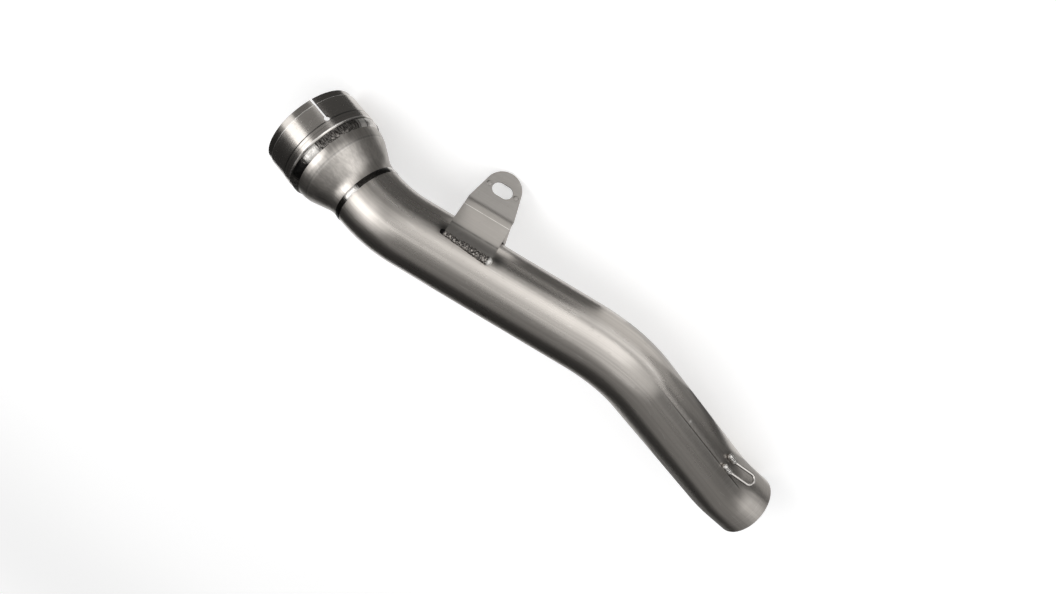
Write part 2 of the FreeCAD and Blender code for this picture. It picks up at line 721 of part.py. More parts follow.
def brace_profile(sketch):
    """Draw the front sheet edge-on: flat ear, bent leg and a foot rolled to the tube."""
    thick = size("sheet_thickness")
    tube_radius = size("tube_outer_diameter") / 2.0
    bend = size("leg_bend_radius")
    top = size("ear_height") + size("ear_radius")
    lean = math.radians(value_of("leg_angle"))
    foot_end = math.radians(90.0 + value_of("foot_clock"))
    touch = math.pi - lean

    # The leg touches both the tube's circle and the bend's circle, so their common
    # tangent at the leg's angle sets the height of the bend's centre.
    centre_across = -(thick.value + bend.value)
    reach = tube_radius.value + thick.value + bend.value
    centre_height = (reach + centre_across * math.cos(lean)) / math.sin(lean)
    centre = FreeCAD.Vector(centre_across, centre_height, 0.0)

    def around_bend(radius, angle):
        return centre + FreeCAD.Vector(math.cos(angle), math.sin(angle), 0.0) * radius

    def around_tube(radius, angle):
        return FreeCAD.Vector(math.cos(angle), math.sin(angle), 0.0) * radius

    normal = FreeCAD.Vector(0, 0, 1)
    back_bend = bend.value + thick.value
    front_skin = tube_radius.value + thick.value
    corner_front = FreeCAD.Vector(-thick.value, top.value, 0.0)
    corner_back = FreeCAD.Vector(0.0, top.value, 0.0)
    bend_circle_back = Part.Circle(centre, normal, back_bend)
    bend_circle_front = Part.Circle(centre, normal, bend.value)
    tube_circle_back = Part.Circle(ORIGIN, normal, tube_radius.value)
    tube_circle_front = Part.Circle(ORIGIN, normal, front_skin)

    edges = sketch.addGeometry([
        Part.LineSegment(corner_front, corner_back),
        Part.LineSegment(corner_back, around_bend(back_bend, 0.0)),
        Part.ArcOfCircle(bend_circle_back, -lean, 0.0),
        Part.LineSegment(around_bend(back_bend, -lean), around_tube(tube_radius.value, touch)),
        Part.ArcOfCircle(tube_circle_back, touch, foot_end),
        Part.LineSegment(around_tube(tube_radius.value, foot_end), around_tube(front_skin, foot_end)),
        Part.ArcOfCircle(tube_circle_front, touch, foot_end),
        Part.LineSegment(around_tube(front_skin, touch), around_bend(bend.value, -lean)),
        Part.ArcOfCircle(bend_circle_front, -lean, 0.0),
        Part.LineSegment(around_bend(bend.value, 0.0), corner_front),
    ], False)
    (crown, back_flat, back_curve, back_leg, sole, toe, foot_skin, front_leg, front_curve, front_flat) = edges
    for edge, end, following, start in (
            (crown, 2, back_flat, 1), (sole, 2, toe, 1), (toe, 2, foot_skin, 2), (front_flat, 2, crown, 1)):
        sketch.addConstraint(Sketcher.Constraint("Coincident", edge, end, following, start))
    for edge, end, following, start in (
            (back_flat, 2, back_curve, 2), (back_curve, 1, back_leg, 1), (back_leg, 2, sole, 1),
            (foot_skin, 1, front_leg, 1), (front_leg, 2, front_curve, 1), (front_curve, 2, front_flat, 1)):
        sketch.addConstraint(Sketcher.Constraint("Tangent", edge, end, following, start))
    sketch.addConstraint(Sketcher.Constraint("Coincident", sole, 3, -1, 1))
    sketch.addConstraint(Sketcher.Constraint("Coincident", foot_skin, 3, -1, 1))
    sketch.addConstraint(Sketcher.Constraint("Coincident", back_curve, 3, front_curve, 3))
    sketch.addConstraint(Sketcher.Constraint("Horizontal", crown))
    sketch.addConstraint(Sketcher.Constraint("Vertical", back_flat))
    sketch.addConstraint(Sketcher.Constraint("Vertical", front_flat))
    sketch.addConstraint(Sketcher.Constraint("PointOnObject", -1, 1, toe))
    hold_point(sketch, crown, 2, as_length(0.0), top)
    hold_value(sketch, Sketcher.Constraint("DistanceX", crown, 1, crown, 2, thick.value), thick)
    hold_value(sketch, Sketcher.Constraint("Radius", sole, tube_radius.value), tube_radius)
    hold_value(sketch, Sketcher.Constraint("Radius", foot_skin, front_skin), tube_radius + thick)
    hold_value(sketch, Sketcher.Constraint("Radius", front_curve, bend.value), bend)
    leg = sketch.addConstraint(Sketcher.Constraint("Angle", back_leg, -math.pi / 2.0 - lean))
    bind(sketch, "Constraints[%d]" % leg, -(as_length(90.0) + size("leg_angle")))
    foot = sketch.addConstraint(Sketcher.Constraint("Angle", toe, foot_end))
    bind(sketch, "Constraints[%d]" % foot, as_length(90.0) + size("foot_clock"))


def make_bracket_brace():
    """Front sheet: bent strip, trimmed to the ear, slotted, with two locating dimples."""
    body = new_body("BracketBrace")
    profile = new_sketch(body, "YZ_Plane", "BraceProfile")
    brace_profile(profile)
    strip = body.newObject("PartDesign::Pad", "BraceStrip")
    strip.Profile = profile
    strip.Midplane = True
    bind(strip, "Length", size("brace_width"))
    doc.recompute()

    half_width = size("brace_width") / 2.0
    margin = size("sheet_thickness")
    top = size("ear_height") + size("ear_radius") + margin
    trim = new_sketch(body, "XZ_Plane", "EarTrim")
    ear_outline(trim, [
        (-half_width - margin, size("kink_height") - margin * 3.0),
        (half_width + margin, size("kink_height") - margin * 3.0),
    ])
    closed_outline(trim, [
        (-half_width - margin * 3.0, size("kink_height") - margin * 3.0 - margin),
        (half_width + margin * 3.0, size("kink_height") - margin * 3.0 - margin),
        (half_width + margin * 3.0, top),
        (-half_width - margin * 3.0, top),
    ])
    pocket(body, trim, "EarTrimCut")
    slot = new_sketch(body, "XZ_Plane", "BraceSlot")
    slot_outline(slot, size("ear_height"), size("ear_slot_length"), size("ear_slot_width"))
    pocket(body, slot, "BraceSlotCut")
    dimples = new_sketch(body, "XZ_Plane", "DimpleOutlines")
    for side in (1.0, -1.0):
        across = size("dimple_spacing") * (side / 2.0)
        circle_outline(dimples, across, size("ear_height"), size("dimple_diameter") / 2.0)
    raised = body.newObject("PartDesign::Pad", "Dimples")
    raised.Profile = dimples
    bind(raised, "Length", size("sheet_thickness") + size("dimple_rise"))
    doc.recompute()
    keep(body, "bracket_brace", bracket_place())


def make_foot_weld():
    """Bead along the end of the foot, thin where it begins and thick where it ends."""
    half_width = value_of("brace_width") / 2.0
    depth = value_of("tube_outer_diameter") / 2.0 - value_of("foot_bead_sink")
    tube_radius = size("tube_outer_diameter") / 2.0
    start_radius = size("foot_bead_start_radius")
    end_radius = size("foot_bead_end_radius")
    start_x = -(half_width + value_of("foot_bead_overhang"))
    end_x = half_width - end_radius.value / 2.0
    start = turned_about_x(value_of("foot_bead_start_clock"), UP * depth) + ALONG * start_x
    end = turned_about_x(value_of("foot_bead_end_clock"), UP * depth) + ALONG * end_x
    way = end - start
    core = doc.addObject("Part::Cone", "FootBeadCore")
    bind(core, "Radius1", start_radius)
    bind(core, "Radius2", end_radius)
    core.Height = way.Length
    core.Placement = FreeCAD.Placement(start, FreeCAD.Rotation(UP, way))
    blank = joined("FootBeadBlank", [
        core,
        ball("FootBeadStart", start_radius, start),
        ball("FootBeadEnd", end_radius, end),
    ])
    span = size("brace_width") * 2.0
    skin = rod("FootBeadSeat", tube_radius, span, along_x(-span.value / 2.0))
    seated = cut_away("FootBeadSeated", blank, skin)
    turn = FreeCAD.Rotation(ALONG, value_of("foot_clock"))
    far_corner = FreeCAD.Placement(ALONG * (-span.value / 2.0), turn)
    side = block("FootBeadStop", span, tube_radius, span, far_corner)
    keep_bead(cut_away("FootWeld", seated, side), bracket_place())


def make_heel_weld():
    """Fillet bead behind the flat sheet, along the crown of the tube."""
    tube_radius = size("tube_outer_diameter") / 2.0
    radius = size("heel_bead_radius")
    start_x = -value_of("brace_width") / 2.0 + value_of("heel_bead_margin")
    end_x = value_of("plate_heel") - value_of("heel_bead_margin")
    axis = BACK * value_of("sheet_thickness") + UP * tube_radius.value
    start = axis + ALONG * start_x
    end = axis + ALONG * end_x
    core = doc.addObject("Part::Cylinder", "HeelBeadCore")
    bind(core, "Radius", radius)
    core.Height = end_x - start_x
    core.Placement = FreeCAD.Placement(start, FreeCAD.Rotation(BACK, 90.0))
    blank = joined("HeelBeadBlank", [
        core,
        ball("HeelBeadStart", radius, start),
        ball("HeelBeadEnd", radius, end),
    ])
    span = size("brace_width") * 2.0
    skin = rod("HeelBeadSeat", tube_radius, span, along_x(-span.value / 2.0))
    seated = cut_away("HeelBeadSeated", blank, skin)
    corner = ALONG * (-span.value / 2.0) + BACK * (value_of("sheet_thickness") - span.value)
    side = block("HeelBeadStop", span, span, span, FreeCAD.Placement(corner, FreeCAD.Rotation()))
    keep_bead(cut_away("HeelWeld", seated, side), bracket_place())


# Spring hook

def hook_place(line):
    """Return the hook's place: X follows the tube, Z leaves it, the origin is on its axis."""
    turn = FreeCAD.Rotation(line["outlet_heading"], value_of("hook_clock"))
    outward = turn.multVec(line["tail_side"])
    heading = line["outlet_heading"]
    origin = line["outlet_end"] - heading * value_of("hook_setback")
    return FreeCAD.Placement(origin, FreeCAD.Rotation(heading, outward.cross(heading), outward, "ZXY"))


def hook_runs():
    """Return the runs of the hook's wire: leg, knee and riser there, the loop, and back."""
    level = (value_of("tube_outer_diameter") + value_of("wire_diameter")) / 2.0
    half_gap = value_of("hook_gap") / 2.0
    rise = math.radians(value_of("hook_rise_angle"))
    climb = FreeCAD.Vector(math.cos(rise), 0.0, math.sin(rise))
    knee = FreeCAD.Vector(value_of("hook_leg"), 0.0, level)
    setback = value_of("hook_knee_radius") * math.tan(rise / 2.0)
    inward = (climb - ALONG).normalize()
    knee_middle = knee + inward * (value_of("hook_knee_radius") * (1.0 / math.cos(rise / 2.0) - 1.0))
    loop_base = knee + climb * value_of("hook_reach")
    crown = loop_base + climb * half_gap

    def side_runs(side):
        shift = BACK * (side * half_gap)
        leg_end = FreeCAD.Vector(0.0, 0.0, level) + shift
        knee_start = knee - ALONG * setback + shift
        knee_end = knee + climb * setback + shift
        return [
            (leg_end, knee_start),
            (knee_start, knee_middle + shift, knee_end),
            (knee_end, loop_base + shift),
        ]

    there = side_runs(1.0)
    back = [tuple(reversed(points)) for points in reversed(side_runs(-1.0))]
    loop = (there[-1][-1], crown, back[0][0])
    return there + [loop] + back


def make_spring_hook(line):
    """Bent wire: two legs on the tube, and a loop that rises from it towards the outlet."""
    wire_radius = value_of("wire_diameter") / 2.0
    runs = hook_runs()
    hook = doc.addObject("Part::Feature", "SpringHook")
    hook.Shape = swept_round(runs, wire_radius)
    check_sweep(hook.Shape, runs, math.pi * wire_radius ** 2)
    keep(hook, "spring_hook", hook_place(line))


def make_hook_weld(line, name, side):
    """Bead over one leg of the hook, seated on the tube and round the wire."""
    tube_radius = size("tube_outer_diameter") / 2.0
    wire_radius = value_of("wire_diameter") / 2.0
    bead_radius = size("hook_bead_radius")
    level = tube_radius.value + wire_radius
    half_gap = value_of("hook_gap") / 2.0
    axis_start = BACK * (side * half_gap) + UP * level
    bead_start = axis_start - ALONG * (bead_radius.value / 2.0)
    bead_end = bead_start + ALONG * value_of("hook_bead_length")
    blank = joined(name + "Blank", [
        rod(name + "Core", bead_radius, size("hook_bead_length"),
            FreeCAD.Placement(bead_start, FreeCAD.Rotation(BACK, 90.0))),
        ball(name + "Start", bead_radius, bead_start),
        ball(name + "End", bead_radius, bead_end),
    ])
    span = size("hook_leg") * 6.0
    skin = rod(name + "Seat", tube_radius, span, along_x(-span.value / 2.0))
    seated = cut_away(name + "Seated", blank, skin)
    wire = doc.addObject("Part::Feature", name + "Wire")
    wire.Shape = swept_round(hook_runs(), wire_radius)
    keep_bead(cut_away(name, seated, wire), hook_place(line))


def gather_beads():
    """Join the weld beads into one sub-part without melting them together."""
    doc.recompute()
    group = doc.addObject("Part::Compound", "WeldBeads")
    group.Links = beads
    keep(group, "weld_beads", FreeCAD.Placement())


# Rest pose and files

def lowest_point(centre, axis, radius, down):
    """Return the point of a circle that reaches furthest down."""
    across = down - axis * down.dot(axis)
    return centre + across.normalize() * radius


def floor_direction(line):
    """Return the direction of the floor under the mouth, the outlet and the hanger's ear."""
    lip_radius = value_of("collar_sleeve_radius") - value_of("lip_step")
    tube_radius = value_of("tube_outer_diameter") / 2.0
    ear = ALONG * value_of("bracket_station") + UP * value_of("ear_height")
    down = (UP * 2.0 + BACK).normalize()
    for _ in range(SETTLING_STEPS):
        face = BACK * math.copysign(value_of("sheet_thickness"), down.y)
        contacts = [
            lowest_point(line["mouth"], line["inlet_heading"], lip_radius, down),
            lowest_point(line["outlet"], line["tail_heading"], tube_radius, down),
            lowest_point(ear + face, BACK, value_of("ear_radius"), down),
        ]
        normal = (contacts[1] - contacts[0]).cross(contacts[2] - contacts[0]).normalize()
        down = normal if normal.dot(down) > 0.0 else normal * -1.0
    return down


def lay_down(line):
    """Turn all sub-parts into the rest pose and stand them on the floor round the origin."""
    up = floor_direction(line) * -1.0
    ahead = (ALONG - up * ALONG.dot(up)).normalize()
    turn = FreeCAD.Rotation(ahead, up.cross(ahead), up, "ZXY").inverted()
    rest = FreeCAD.Placement(ORIGIN, turn)
    for item, place in sub_parts:
        item.Placement = rest.multiply(place)
    doc.recompute()
    box = FreeCAD.BoundBox()
    for item, _ in sub_parts:
        box.add(item.Shape.optimalBoundingBox(False))
    shift = FreeCAD.Vector(-box.Center.x, -box.Center.y, -box.ZMin)
    rest = FreeCAD.Placement(shift, turn)
    for item, place in sub_parts:
        item.Placement = rest.multiply(place)
    doc.recompute()
    return rest


def check_document():
    """Stop if any object failed or any sub-part has no sound shape."""
    for item in doc.Objects:
        for state in ("Invalid", "Error"):
            if state in item.State:
                raise RuntimeError("%s is %s" % (item.Name, state))
    for item, _ in sub_parts:
        if item.Shape.isNull() or not item.Shape.isValid() or not item.Shape.Solids:
            raise RuntimeError("%s has no sound shape" % item.Label)


def show_interfaces(line, rest):
    """Print where the interfaces lie in the rest pose, in millimetres."""
    ear = ALONG * value_of("bracket_station") + UP * value_of("ear_height")
    hook = hook_place(line)
    rise = math.radians(value_of("hook_rise_angle"))
    climb = FreeCAD.Vector(math.cos(rise), 0.0, math.sin(rise))
    level = (value_of("tube_outer_diameter") + value_of("wire_diameter")) / 2.0
    loop = ALONG * value_of("hook_leg") + UP * level + climb * value_of("hook_reach")
    places = [
        ("mouth", line["mouth"], line["inlet_heading"] * -1.0),
        ("outlet", line["outlet"], line["tail_heading"]),
        ("neck", line["neck"], line["inlet_heading"]),
        ("main start", line["main_start"], ALONG),
        ("main end", line["main_end"], ALONG),
        ("outlet run start", line["outlet_start"], line["outlet_heading"]),
        ("ear slot", ear, BACK * -1.0),
        ("ear slot's long way", ear, ALONG),
        ("hook loop", hook.multVec(loop), hook.Rotation.multVec(climb)),
        ("hook outward", hook.multVec(loop), hook.Rotation.multVec(UP)),
    ]
    for name, place, heading in places:
        spot = "%.3f %.3f %.3f" % tuple(rest.multVec(place))
        way = "%.5f %.5f %.5f" % tuple(rest.Rotation.multVec(heading))
        print("%s at %s towards %s" % (name, spot, way))


def write_files():
    """Write one STEP file for each sub-part."""
    os.makedirs("parts", exist_ok=True)
    for item, _ in sub_parts:
        item.Shape.exportStep("parts/%s.step" % item.Label)
        print("%-20s volume %.1f" % (item.Label, item.Shape.Volume))


def main():
    """Build the pipe from its mouth to its outlet."""
    fill_sheet()
    line = centre_line()
    make_inlet_collar(line)
    make_collar_weld(line)
    make_reducer(line)
    make_neck_weld(line)
    make_main_tube(line)
    make_bracket_plate()
    make_bracket_brace()
    make_heel_weld()
    make_foot_weld()
    make_spring_hook(line)
    make_hook_weld(line, "HookWeldLeft", 1.0)
    make_hook_weld(line, "HookWeldRight", -1.0)
    gather_beads()
    doc.recompute()
    rest = lay_down(line)
    check_document()
    show_interfaces(line, rest)
    write_files()


main()
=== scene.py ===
import logging
from dataclasses import dataclass
from enum import Enum
from math import acos, asin, atan2, ceil, cos, hypot, pi, radians, sin, sqrt, tan
from typing import Callable, Optional, Sequence

import bpy
import numpy as np
from mathutils import Matrix, Vector, geometry, noise


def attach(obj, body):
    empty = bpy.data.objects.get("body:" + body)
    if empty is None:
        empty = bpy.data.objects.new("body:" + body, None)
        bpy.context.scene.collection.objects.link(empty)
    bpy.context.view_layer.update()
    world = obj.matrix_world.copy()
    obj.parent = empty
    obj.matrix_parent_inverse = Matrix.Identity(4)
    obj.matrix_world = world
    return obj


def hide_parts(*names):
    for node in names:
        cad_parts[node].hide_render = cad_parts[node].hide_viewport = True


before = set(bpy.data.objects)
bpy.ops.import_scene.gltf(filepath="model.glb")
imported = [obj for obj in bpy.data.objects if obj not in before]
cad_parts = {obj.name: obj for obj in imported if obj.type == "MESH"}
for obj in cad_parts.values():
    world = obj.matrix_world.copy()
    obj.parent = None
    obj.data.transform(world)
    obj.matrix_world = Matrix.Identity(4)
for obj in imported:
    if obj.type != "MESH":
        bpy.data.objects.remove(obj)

# A motorcycle link pipe that takes the place of a catalytic converter: a slotted clamp
# collar, a spun reducer, a bent tube, a hanger of two sheets and a wire spring hook.
# It lies on the floor on the rims of its mouth and outlet and on the hanger's ear.
#
# Sizes are in millimetres, and become metres when a mesh is made. Stations are distances
# along the pipe's centre line from the mouth. A clock angle turns about the centre line
# from the inside of the first bend.

Socket = bpy.types.NodeSocket

LOG = logging.getLogger("link_pipe")
MM = 0.001
ROOT = "root"
TUBE_RADIUS = 27.0
TUBE_WALL = 1.2
COLLAR_LENGTH = 31.0
REDUCER_LENGTH = 38.5
SHARP_DEGREES = 35.0
NEVER_SHARP = 180.0
LARGE_FACE_WEIGHT = 60
RIPPLE_MIDDLE = 0.6

# Shares of a net's step: the height of a row of its triangles, and the room that is kept
# beside its outlines and beside its extra points.
ROW_SHARE = 0.866
EDGE_SHARE = 0.55
EXTRA_SHARE = 0.6


class Slot(Enum):
    """Material slots of the record."""

    COLLAR = "collar_metal"
    REDUCER = "reducer_metal"
    TUBE = "tube_metal"
    SHEET = "sheet_metal"
    WIRE = "hook_wire"
    BEAD = "weld_bead"
    HOOK_BEAD = "hook_bead"


# Places


def unit(vector: np.ndarray) -> np.ndarray:
    """Return a vector scaled to length 1."""
    return vector / np.linalg.norm(vector)


def turned(vector: np.ndarray, axis: np.ndarray, angle: float) -> np.ndarray:
    """Return a vector turned about an axis of length 1 by an angle in radians."""
    across = np.cross(axis, vector)
    along = axis * float(np.dot(axis, vector))
    return vector * cos(angle) + across * sin(angle) + along * (1.0 - cos(angle))


@dataclass(frozen=True)
class Place:
    """A local frame: its origin and its three axes."""

    origin: np.ndarray
    x: np.ndarray
    y: np.ndarray
    z: np.ndarray

    def point(self, local: Sequence[float]) -> np.ndarray:
        """Return the outer place of a local point."""
        return self.origin + self.x * local[0] + self.y * local[1] + self.z * local[2]

    def points(self, local: np.ndarray) -> np.ndarray:
        """Return the outer places of an array of local points."""
        axes = np.stack([self.x, self.y, self.z])
        return self.origin + local @ axes

    def way(self, local: Sequence[float]) -> np.ndarray:
        """Return the outer direction of a local one."""
        return self.x * local[0] + self.y * local[1] + self.z * local[2]


def rest_place() -> Place:
    """Return the place of the drawing frame in the pose in which the pipe lies.

    Returns:
        The frame at the start of the main run: X along it, Y away from the viewer's
        side and Z towards the hanger's ear, in millimetres of the floor's frame.
    """
    along = unit(np.array([0.99959, 0.0, -0.02854]))
    rough_back = np.array([-0.01529, -0.84442, -0.53546])
    up = unit(np.cross(along, rough_back))
    return Place(np.array([-116.997, 43.050, 67.425]), along, np.cross(up, along), up)


@dataclass(frozen=True)
class Run:
    """One straight or bent stretch of the centre line."""

    start: np.ndarray
    heading: np.ndarray
    side: np.ndarray
    length: float
    bend_side: Optional[np.ndarray] = None
    bend_radius: float = 0.0

    def at(self, reach: float) -> Place:
        """Return the place at a distance from the start of the run.

        Args:
            reach: the distance along the centre line.

        Returns:
            A frame whose Z is the heading and whose X is the side that the skin's
            clock angle starts from.
        """
        if self.bend_side is None:
            point = self.start + self.heading * reach
            return Place(point, self.side, np.cross(self.heading, self.side), self.heading)
        angle = reach / self.bend_radius
        axis = np.cross(self.heading, self.bend_side)
        heading = turned(self.heading, axis, angle)
        side = turned(self.side, axis, angle)
        out = self.heading * sin(angle) + self.bend_side * (1.0 - cos(angle))
        return Place(self.start + out * self.bend_radius, side, np.cross(heading, side), heading)


@dataclass(frozen=True)
class CentreLineSizes:
    """Straights in millimetres and bends in degrees, from the mouth to the outlet."""

    collar: float = COLLAR_LENGTH
    reducer: float = REDUCER_LENGTH
    stub_run: float = 2.2
    inlet_bend: float = 23.0
    inlet_plane: float = 22.5
    main_run: float = 147.0
    outlet_bend: float = 35.5
    outlet_plane: float = 106.0
    outlet_run: float = 125.0
    tail_bend: float = 13.7
    tail_run: float = 18.0
    bend_radius: float = 100.0


class CentreLine:
    """The pipe's centre line, with a skin direction that doesn't twist along it."""

    def __init__(self, sizes: CentreLineSizes) -> None:
        """Lay the runs out from the mouth to the outlet, in the rest pose.

        Args:
            sizes: the straights and bends.
        """
        self.sizes = sizes
        self.rest = rest_place()
        radius = sizes.bend_radius
        inlet_side = self.bend_way(sizes.inlet_plane)
        angle = radians(sizes.inlet_bend)
        backwards = self.rest.x * -1.0
        bend_start = self.rest.origin + radius * (backwards * sin(angle) + inlet_side * (1.0 - cos(angle)))
        heading = unit(self.rest.x * cos(angle) - inlet_side * sin(angle))
        self.inlet_side = unit(inlet_side - heading * float(np.dot(inlet_side, heading)))
        lead = sizes.collar + sizes.reducer + sizes.stub_run
        mouth = bend_start - heading * lead
        self.runs = [Run(mouth, heading, self.inlet_side, lead)]
        self.bend(self.inlet_side, sizes.inlet_bend)
        self.straight(sizes.main_run)
        inner = self.bend_way(sizes.outlet_plane)
        self.bend(inner, sizes.outlet_bend)
        end = self.end()
        self.tail_side = unit(inner - end.z * float(np.dot(inner, end.z))) * -1.0
        self.straight(sizes.outlet_run)
        self.tail_bend_start = self.end()
        self.bend(self.tail_side, sizes.tail_bend)
        self.straight(sizes.tail_run)
        self.length = sum(run.length for run in self.runs)

    def bend_way(self, plane_angle: float) -> np.ndarray:
        """Return the side to which a bend of the main run turns."""
        angle = radians(plane_angle)
        return self.rest.y * sin(angle) + self.rest.z * cos(angle)

    def end(self) -> Place:
        """Return the place at the end of what is laid."""
        return self.runs[-1].at(self.runs[-1].length)

    def straight(self, length: float) -> None:
        """Add a straight."""
        here = self.end()
        self.runs.append(Run(here.origin, here.z, here.x, length))

    def bend(self, bend_side: np.ndarray, degrees: float) -> None:
        """Add a bend.

        Args:
            bend_side: the side that it turns to.
            degrees: how far it turns.
        """
        here = self.end()
        radius = self.sizes.bend_radius
        length = radius * radians(degrees)
        self.runs.append(Run(here.origin, here.z, here.x, length, bend_side, radius))

    def at(self, station: float) -> Place:
        """Find the place at a station. Stations past an end follow its straight.

        Args:
            station: the distance from the mouth along the centre line.

        Returns:
            The frame there.
        """
        reach = station
        for run in self.runs[:-1]:
            if reach <= run.length:
                return run.at(reach)
            reach -= run.length
        return self.runs[-1].at(reach)


# Profiles and meshes


@dataclass(frozen=True)
class Corner:
    """A corner of a profile: its station and radius, and the radius that rounds it."""

    station: float
    radius: float
    blend: float = 0.0


def rounded_loop(corners: Sequence[Corner], steps: int = 4) -> list[tuple[float, float]]:
    """Round the corners of a closed profile.

    Args:
        corners: the corners in order, outside towards the outlet and inside back.
        steps: how many pieces each rounding has.

    Returns:
        The profile's points as pairs of station and radius.
    """
    count = len(corners)
    points: list[tuple[float, float]] = []
    for number, corner in enumerate(corners):
        here = np.array([corner.station, corner.radius])
        before = corners[number - 1]
        after = corners[(number + 1) % count]
        back = unit(np.array([before.station, before.radius]) - here)
        ahead = unit(np.array([after.station, after.radius]) - here)
        cosine = float(np.clip(np.dot(back, ahead), -1.0, 1.0))
        half = acos(cosine) / 2.0
        if corner.blend <= 0.0 or half > pi / 2.0 - 1e-4:
            points.append((corner.station, corner.radius))
            continue
        setback = corner.blend / tan(half)
        centre = here + unit(back + ahead) * (corner.blend / sin(half))
        first = here + back * setback - centre
        last = here + ahead * setback - centre
        sweep = atan2(first[0] * last[1] - first[1] * last[0], float(np.dot(first, last)))
        for step in range(steps + 1):
            angle = sweep * step / steps
            spoke = (
                first[0] * cos(angle) - first[1] * sin(angle),
                first[0] * sin(angle) + first[1] * cos(angle))
            points.append((centre[0] + spoke[0], centre[1] + spoke[1]))
    return points


def divided(points: Sequence[tuple[float, float]], longest: float) -> np.ndarray:
    """Divide the long edges of a closed profile.

    Args:
        points: pairs of station and radius.
        longest: the longest edge that stays whole.

    Returns:
        An array of pairs.
    """
    result: list[np.ndarray] = []
    for number, point in enumerate(points):
        here = np.array(point)
        there = np.array(points[(number + 1) % len(points)])
        pieces = max(1, ceil(float(np.linalg.norm(there - here)) / longest))
        for piece in range(pieces):
            result.append(here + (there - here) * piece / pieces)
    return np.array(result)


@dataclass(frozen=True)
class WeldMap:
    """Where the weld beads lie: rings on the pipe's axis and straight lines."""

    rings: tuple[tuple[np.ndarray, np.ndarray, float], ...]
    lines: tuple[tuple[np.ndarray, np.ndarray], ...]
    far: float = 1000.0

    def distances(self, points: np.ndarray) -> np.ndarray:
        """Measure how far points lie from the nearest bead.

        Args:
            points: places in millimetres.

        Returns:
            One distance in millimetres for each point.
        """
        nearest = np.full(len(points), self.far)
        for centre, axis, radius in self.rings:
            gap = points - centre
            along = gap @ axis
            across = np.linalg.norm(gap - np.outer(along, axis), axis=1)
            nearest = np.minimum(nearest, np.hypot(along, across - radius))
        for start, end in self.lines:
            way = end - start
            share = np.clip((points - start) @ way / float(np.dot(way, way)), 0.0, 1.0)
            nearest = np.minimum(nearest, np.linalg.norm(points - start - np.outer(share, way), axis=1))
        return nearest


def linked(name: str, data: bpy.types.ID) -> bpy.types.Object:
    """Put a mesh, a lamp or a camera into the scene.

    Args:
        name: the object's name.
        data: what it shows.

    Returns:
        The object.
    """
    item = bpy.data.objects.new(name, data)
    bpy.context.scene.collection.objects.link(item)
    return item


def bare_shape(
        name: str,
        points: Sequence[Sequence[float]],
        faces: Sequence[tuple[int, ...]]) -> bpy.types.Object:
    """Make an object that needs no skin: a cutter, a card or the floor.

    Args:
        name: the object's name.
        points: places in metres.
        faces: rings of point numbers.

    Returns:
        The object, linked to the scene.
    """
    mesh = bpy.data.meshes.new(name)
    mesh.from_pydata(points, [], faces)
    mesh.update()
    return linked(name, mesh)


class MeshPlan:
    """Points, faces and surface values of one piece, gathered before its mesh is made."""

    def __init__(self) -> None:
        """Start with nothing."""
        self.points: list[np.ndarray] = []
        self.skins: list[np.ndarray] = []
        self.faces: list[tuple[int, ...]] = []
        self.count = 0

    def add_points(self, points: np.ndarray, skins: np.ndarray) -> int:
        """Add points.

        Args:
            points: places in millimetres.
            skins: their places on the unrolled skin.

        Returns:
            The number of the first one.
        """
        first = self.count
        self.points.append(points.reshape(-1, 3))
        self.skins.append(skins.reshape(-1, 3))
        self.count += len(self.points[-1])
        return first

    def add_grid(self, points: np.ndarray, skins: np.ndarray, wrap_rows: bool, wrap_columns: bool) -> None:
        """Add a grid of four-sided faces.

        Args:
            points: rows, columns and coordinates; faces look along column x row.
            skins: the skin places, of the same form.
            wrap_rows: whether the last row joins the first.
            wrap_columns: whether the last column joins the first.
        """
        rows, columns = points.shape[:2]
        first = self.add_points(points, skins)
        row_steps = rows if wrap_rows else rows - 1
        column_steps = columns if wrap_columns else columns - 1
        for row in range(row_steps):
            below = first + row * columns
            above = first + ((row + 1) % rows) * columns
            for column in range(column_steps):
                following = (column + 1) % columns
                self.faces.append((below + column, below + following, above + following, above + column))

    def add_fan(self, row: Sequence[int], outward_last: bool) -> None:
        """Close a ring of points with one face."""
        self.faces.append(tuple(row) if outward_last else tuple(reversed(row)))

    def build(
            self,
            name: str,
            sharp_degrees: float = SHARP_DEGREES,
            welds: Optional[WeldMap] = None) -> bpy.types.Object:
        """Make the object.

        Args:
            name: the piece's name.
            sharp_degrees: edges that bend more than this are shaded sharp.
            welds: where the welds lie, for surfaces that show their heat.

        Returns:
            The object, linked to the scene.
        """
        mesh = bpy.data.meshes.new(name)
        points = np.concatenate(self.points)
        mesh.from_pydata((points * MM).tolist(), [], self.faces)
        skins = mesh.attributes.new("skin", "FLOAT_VECTOR", "POINT")
        skins.data.foreach_set("vector", (np.concatenate(self.skins) * MM).astype(np.float32).ravel())
        if welds is not None:
            distances = welds.distances(points) * MM
            heat = mesh.attributes.new("weld_distance", "FLOAT", "POINT")
            heat.data.foreach_set("value", distances.astype(np.float32))
        mesh.validate()
        finish_shading(mesh, sharp_degrees)
        return linked(name, mesh)


def finish_shading(mesh: bpy.types.Mesh, sharp_degrees: float) -> None:
    """Shade a mesh smooth, apart from its sharp edges."""
    mesh.polygons.foreach_set("use_smooth", [True] * len(mesh.polygons))
    mesh.set_sharp_from_angle(angle=radians(sharp_degrees))
    mesh.update()


def level_normals(piece: bpy.types.Object) -> None:
    """Let large faces lead the shading, so that small roundings don't darken them."""
    modifier = piece.modifiers.new("LevelNormals", "WEIGHTED_NORMAL")
    modifier.keep_sharp = True
    modifier.weight = LARGE_FACE_WEIGHT


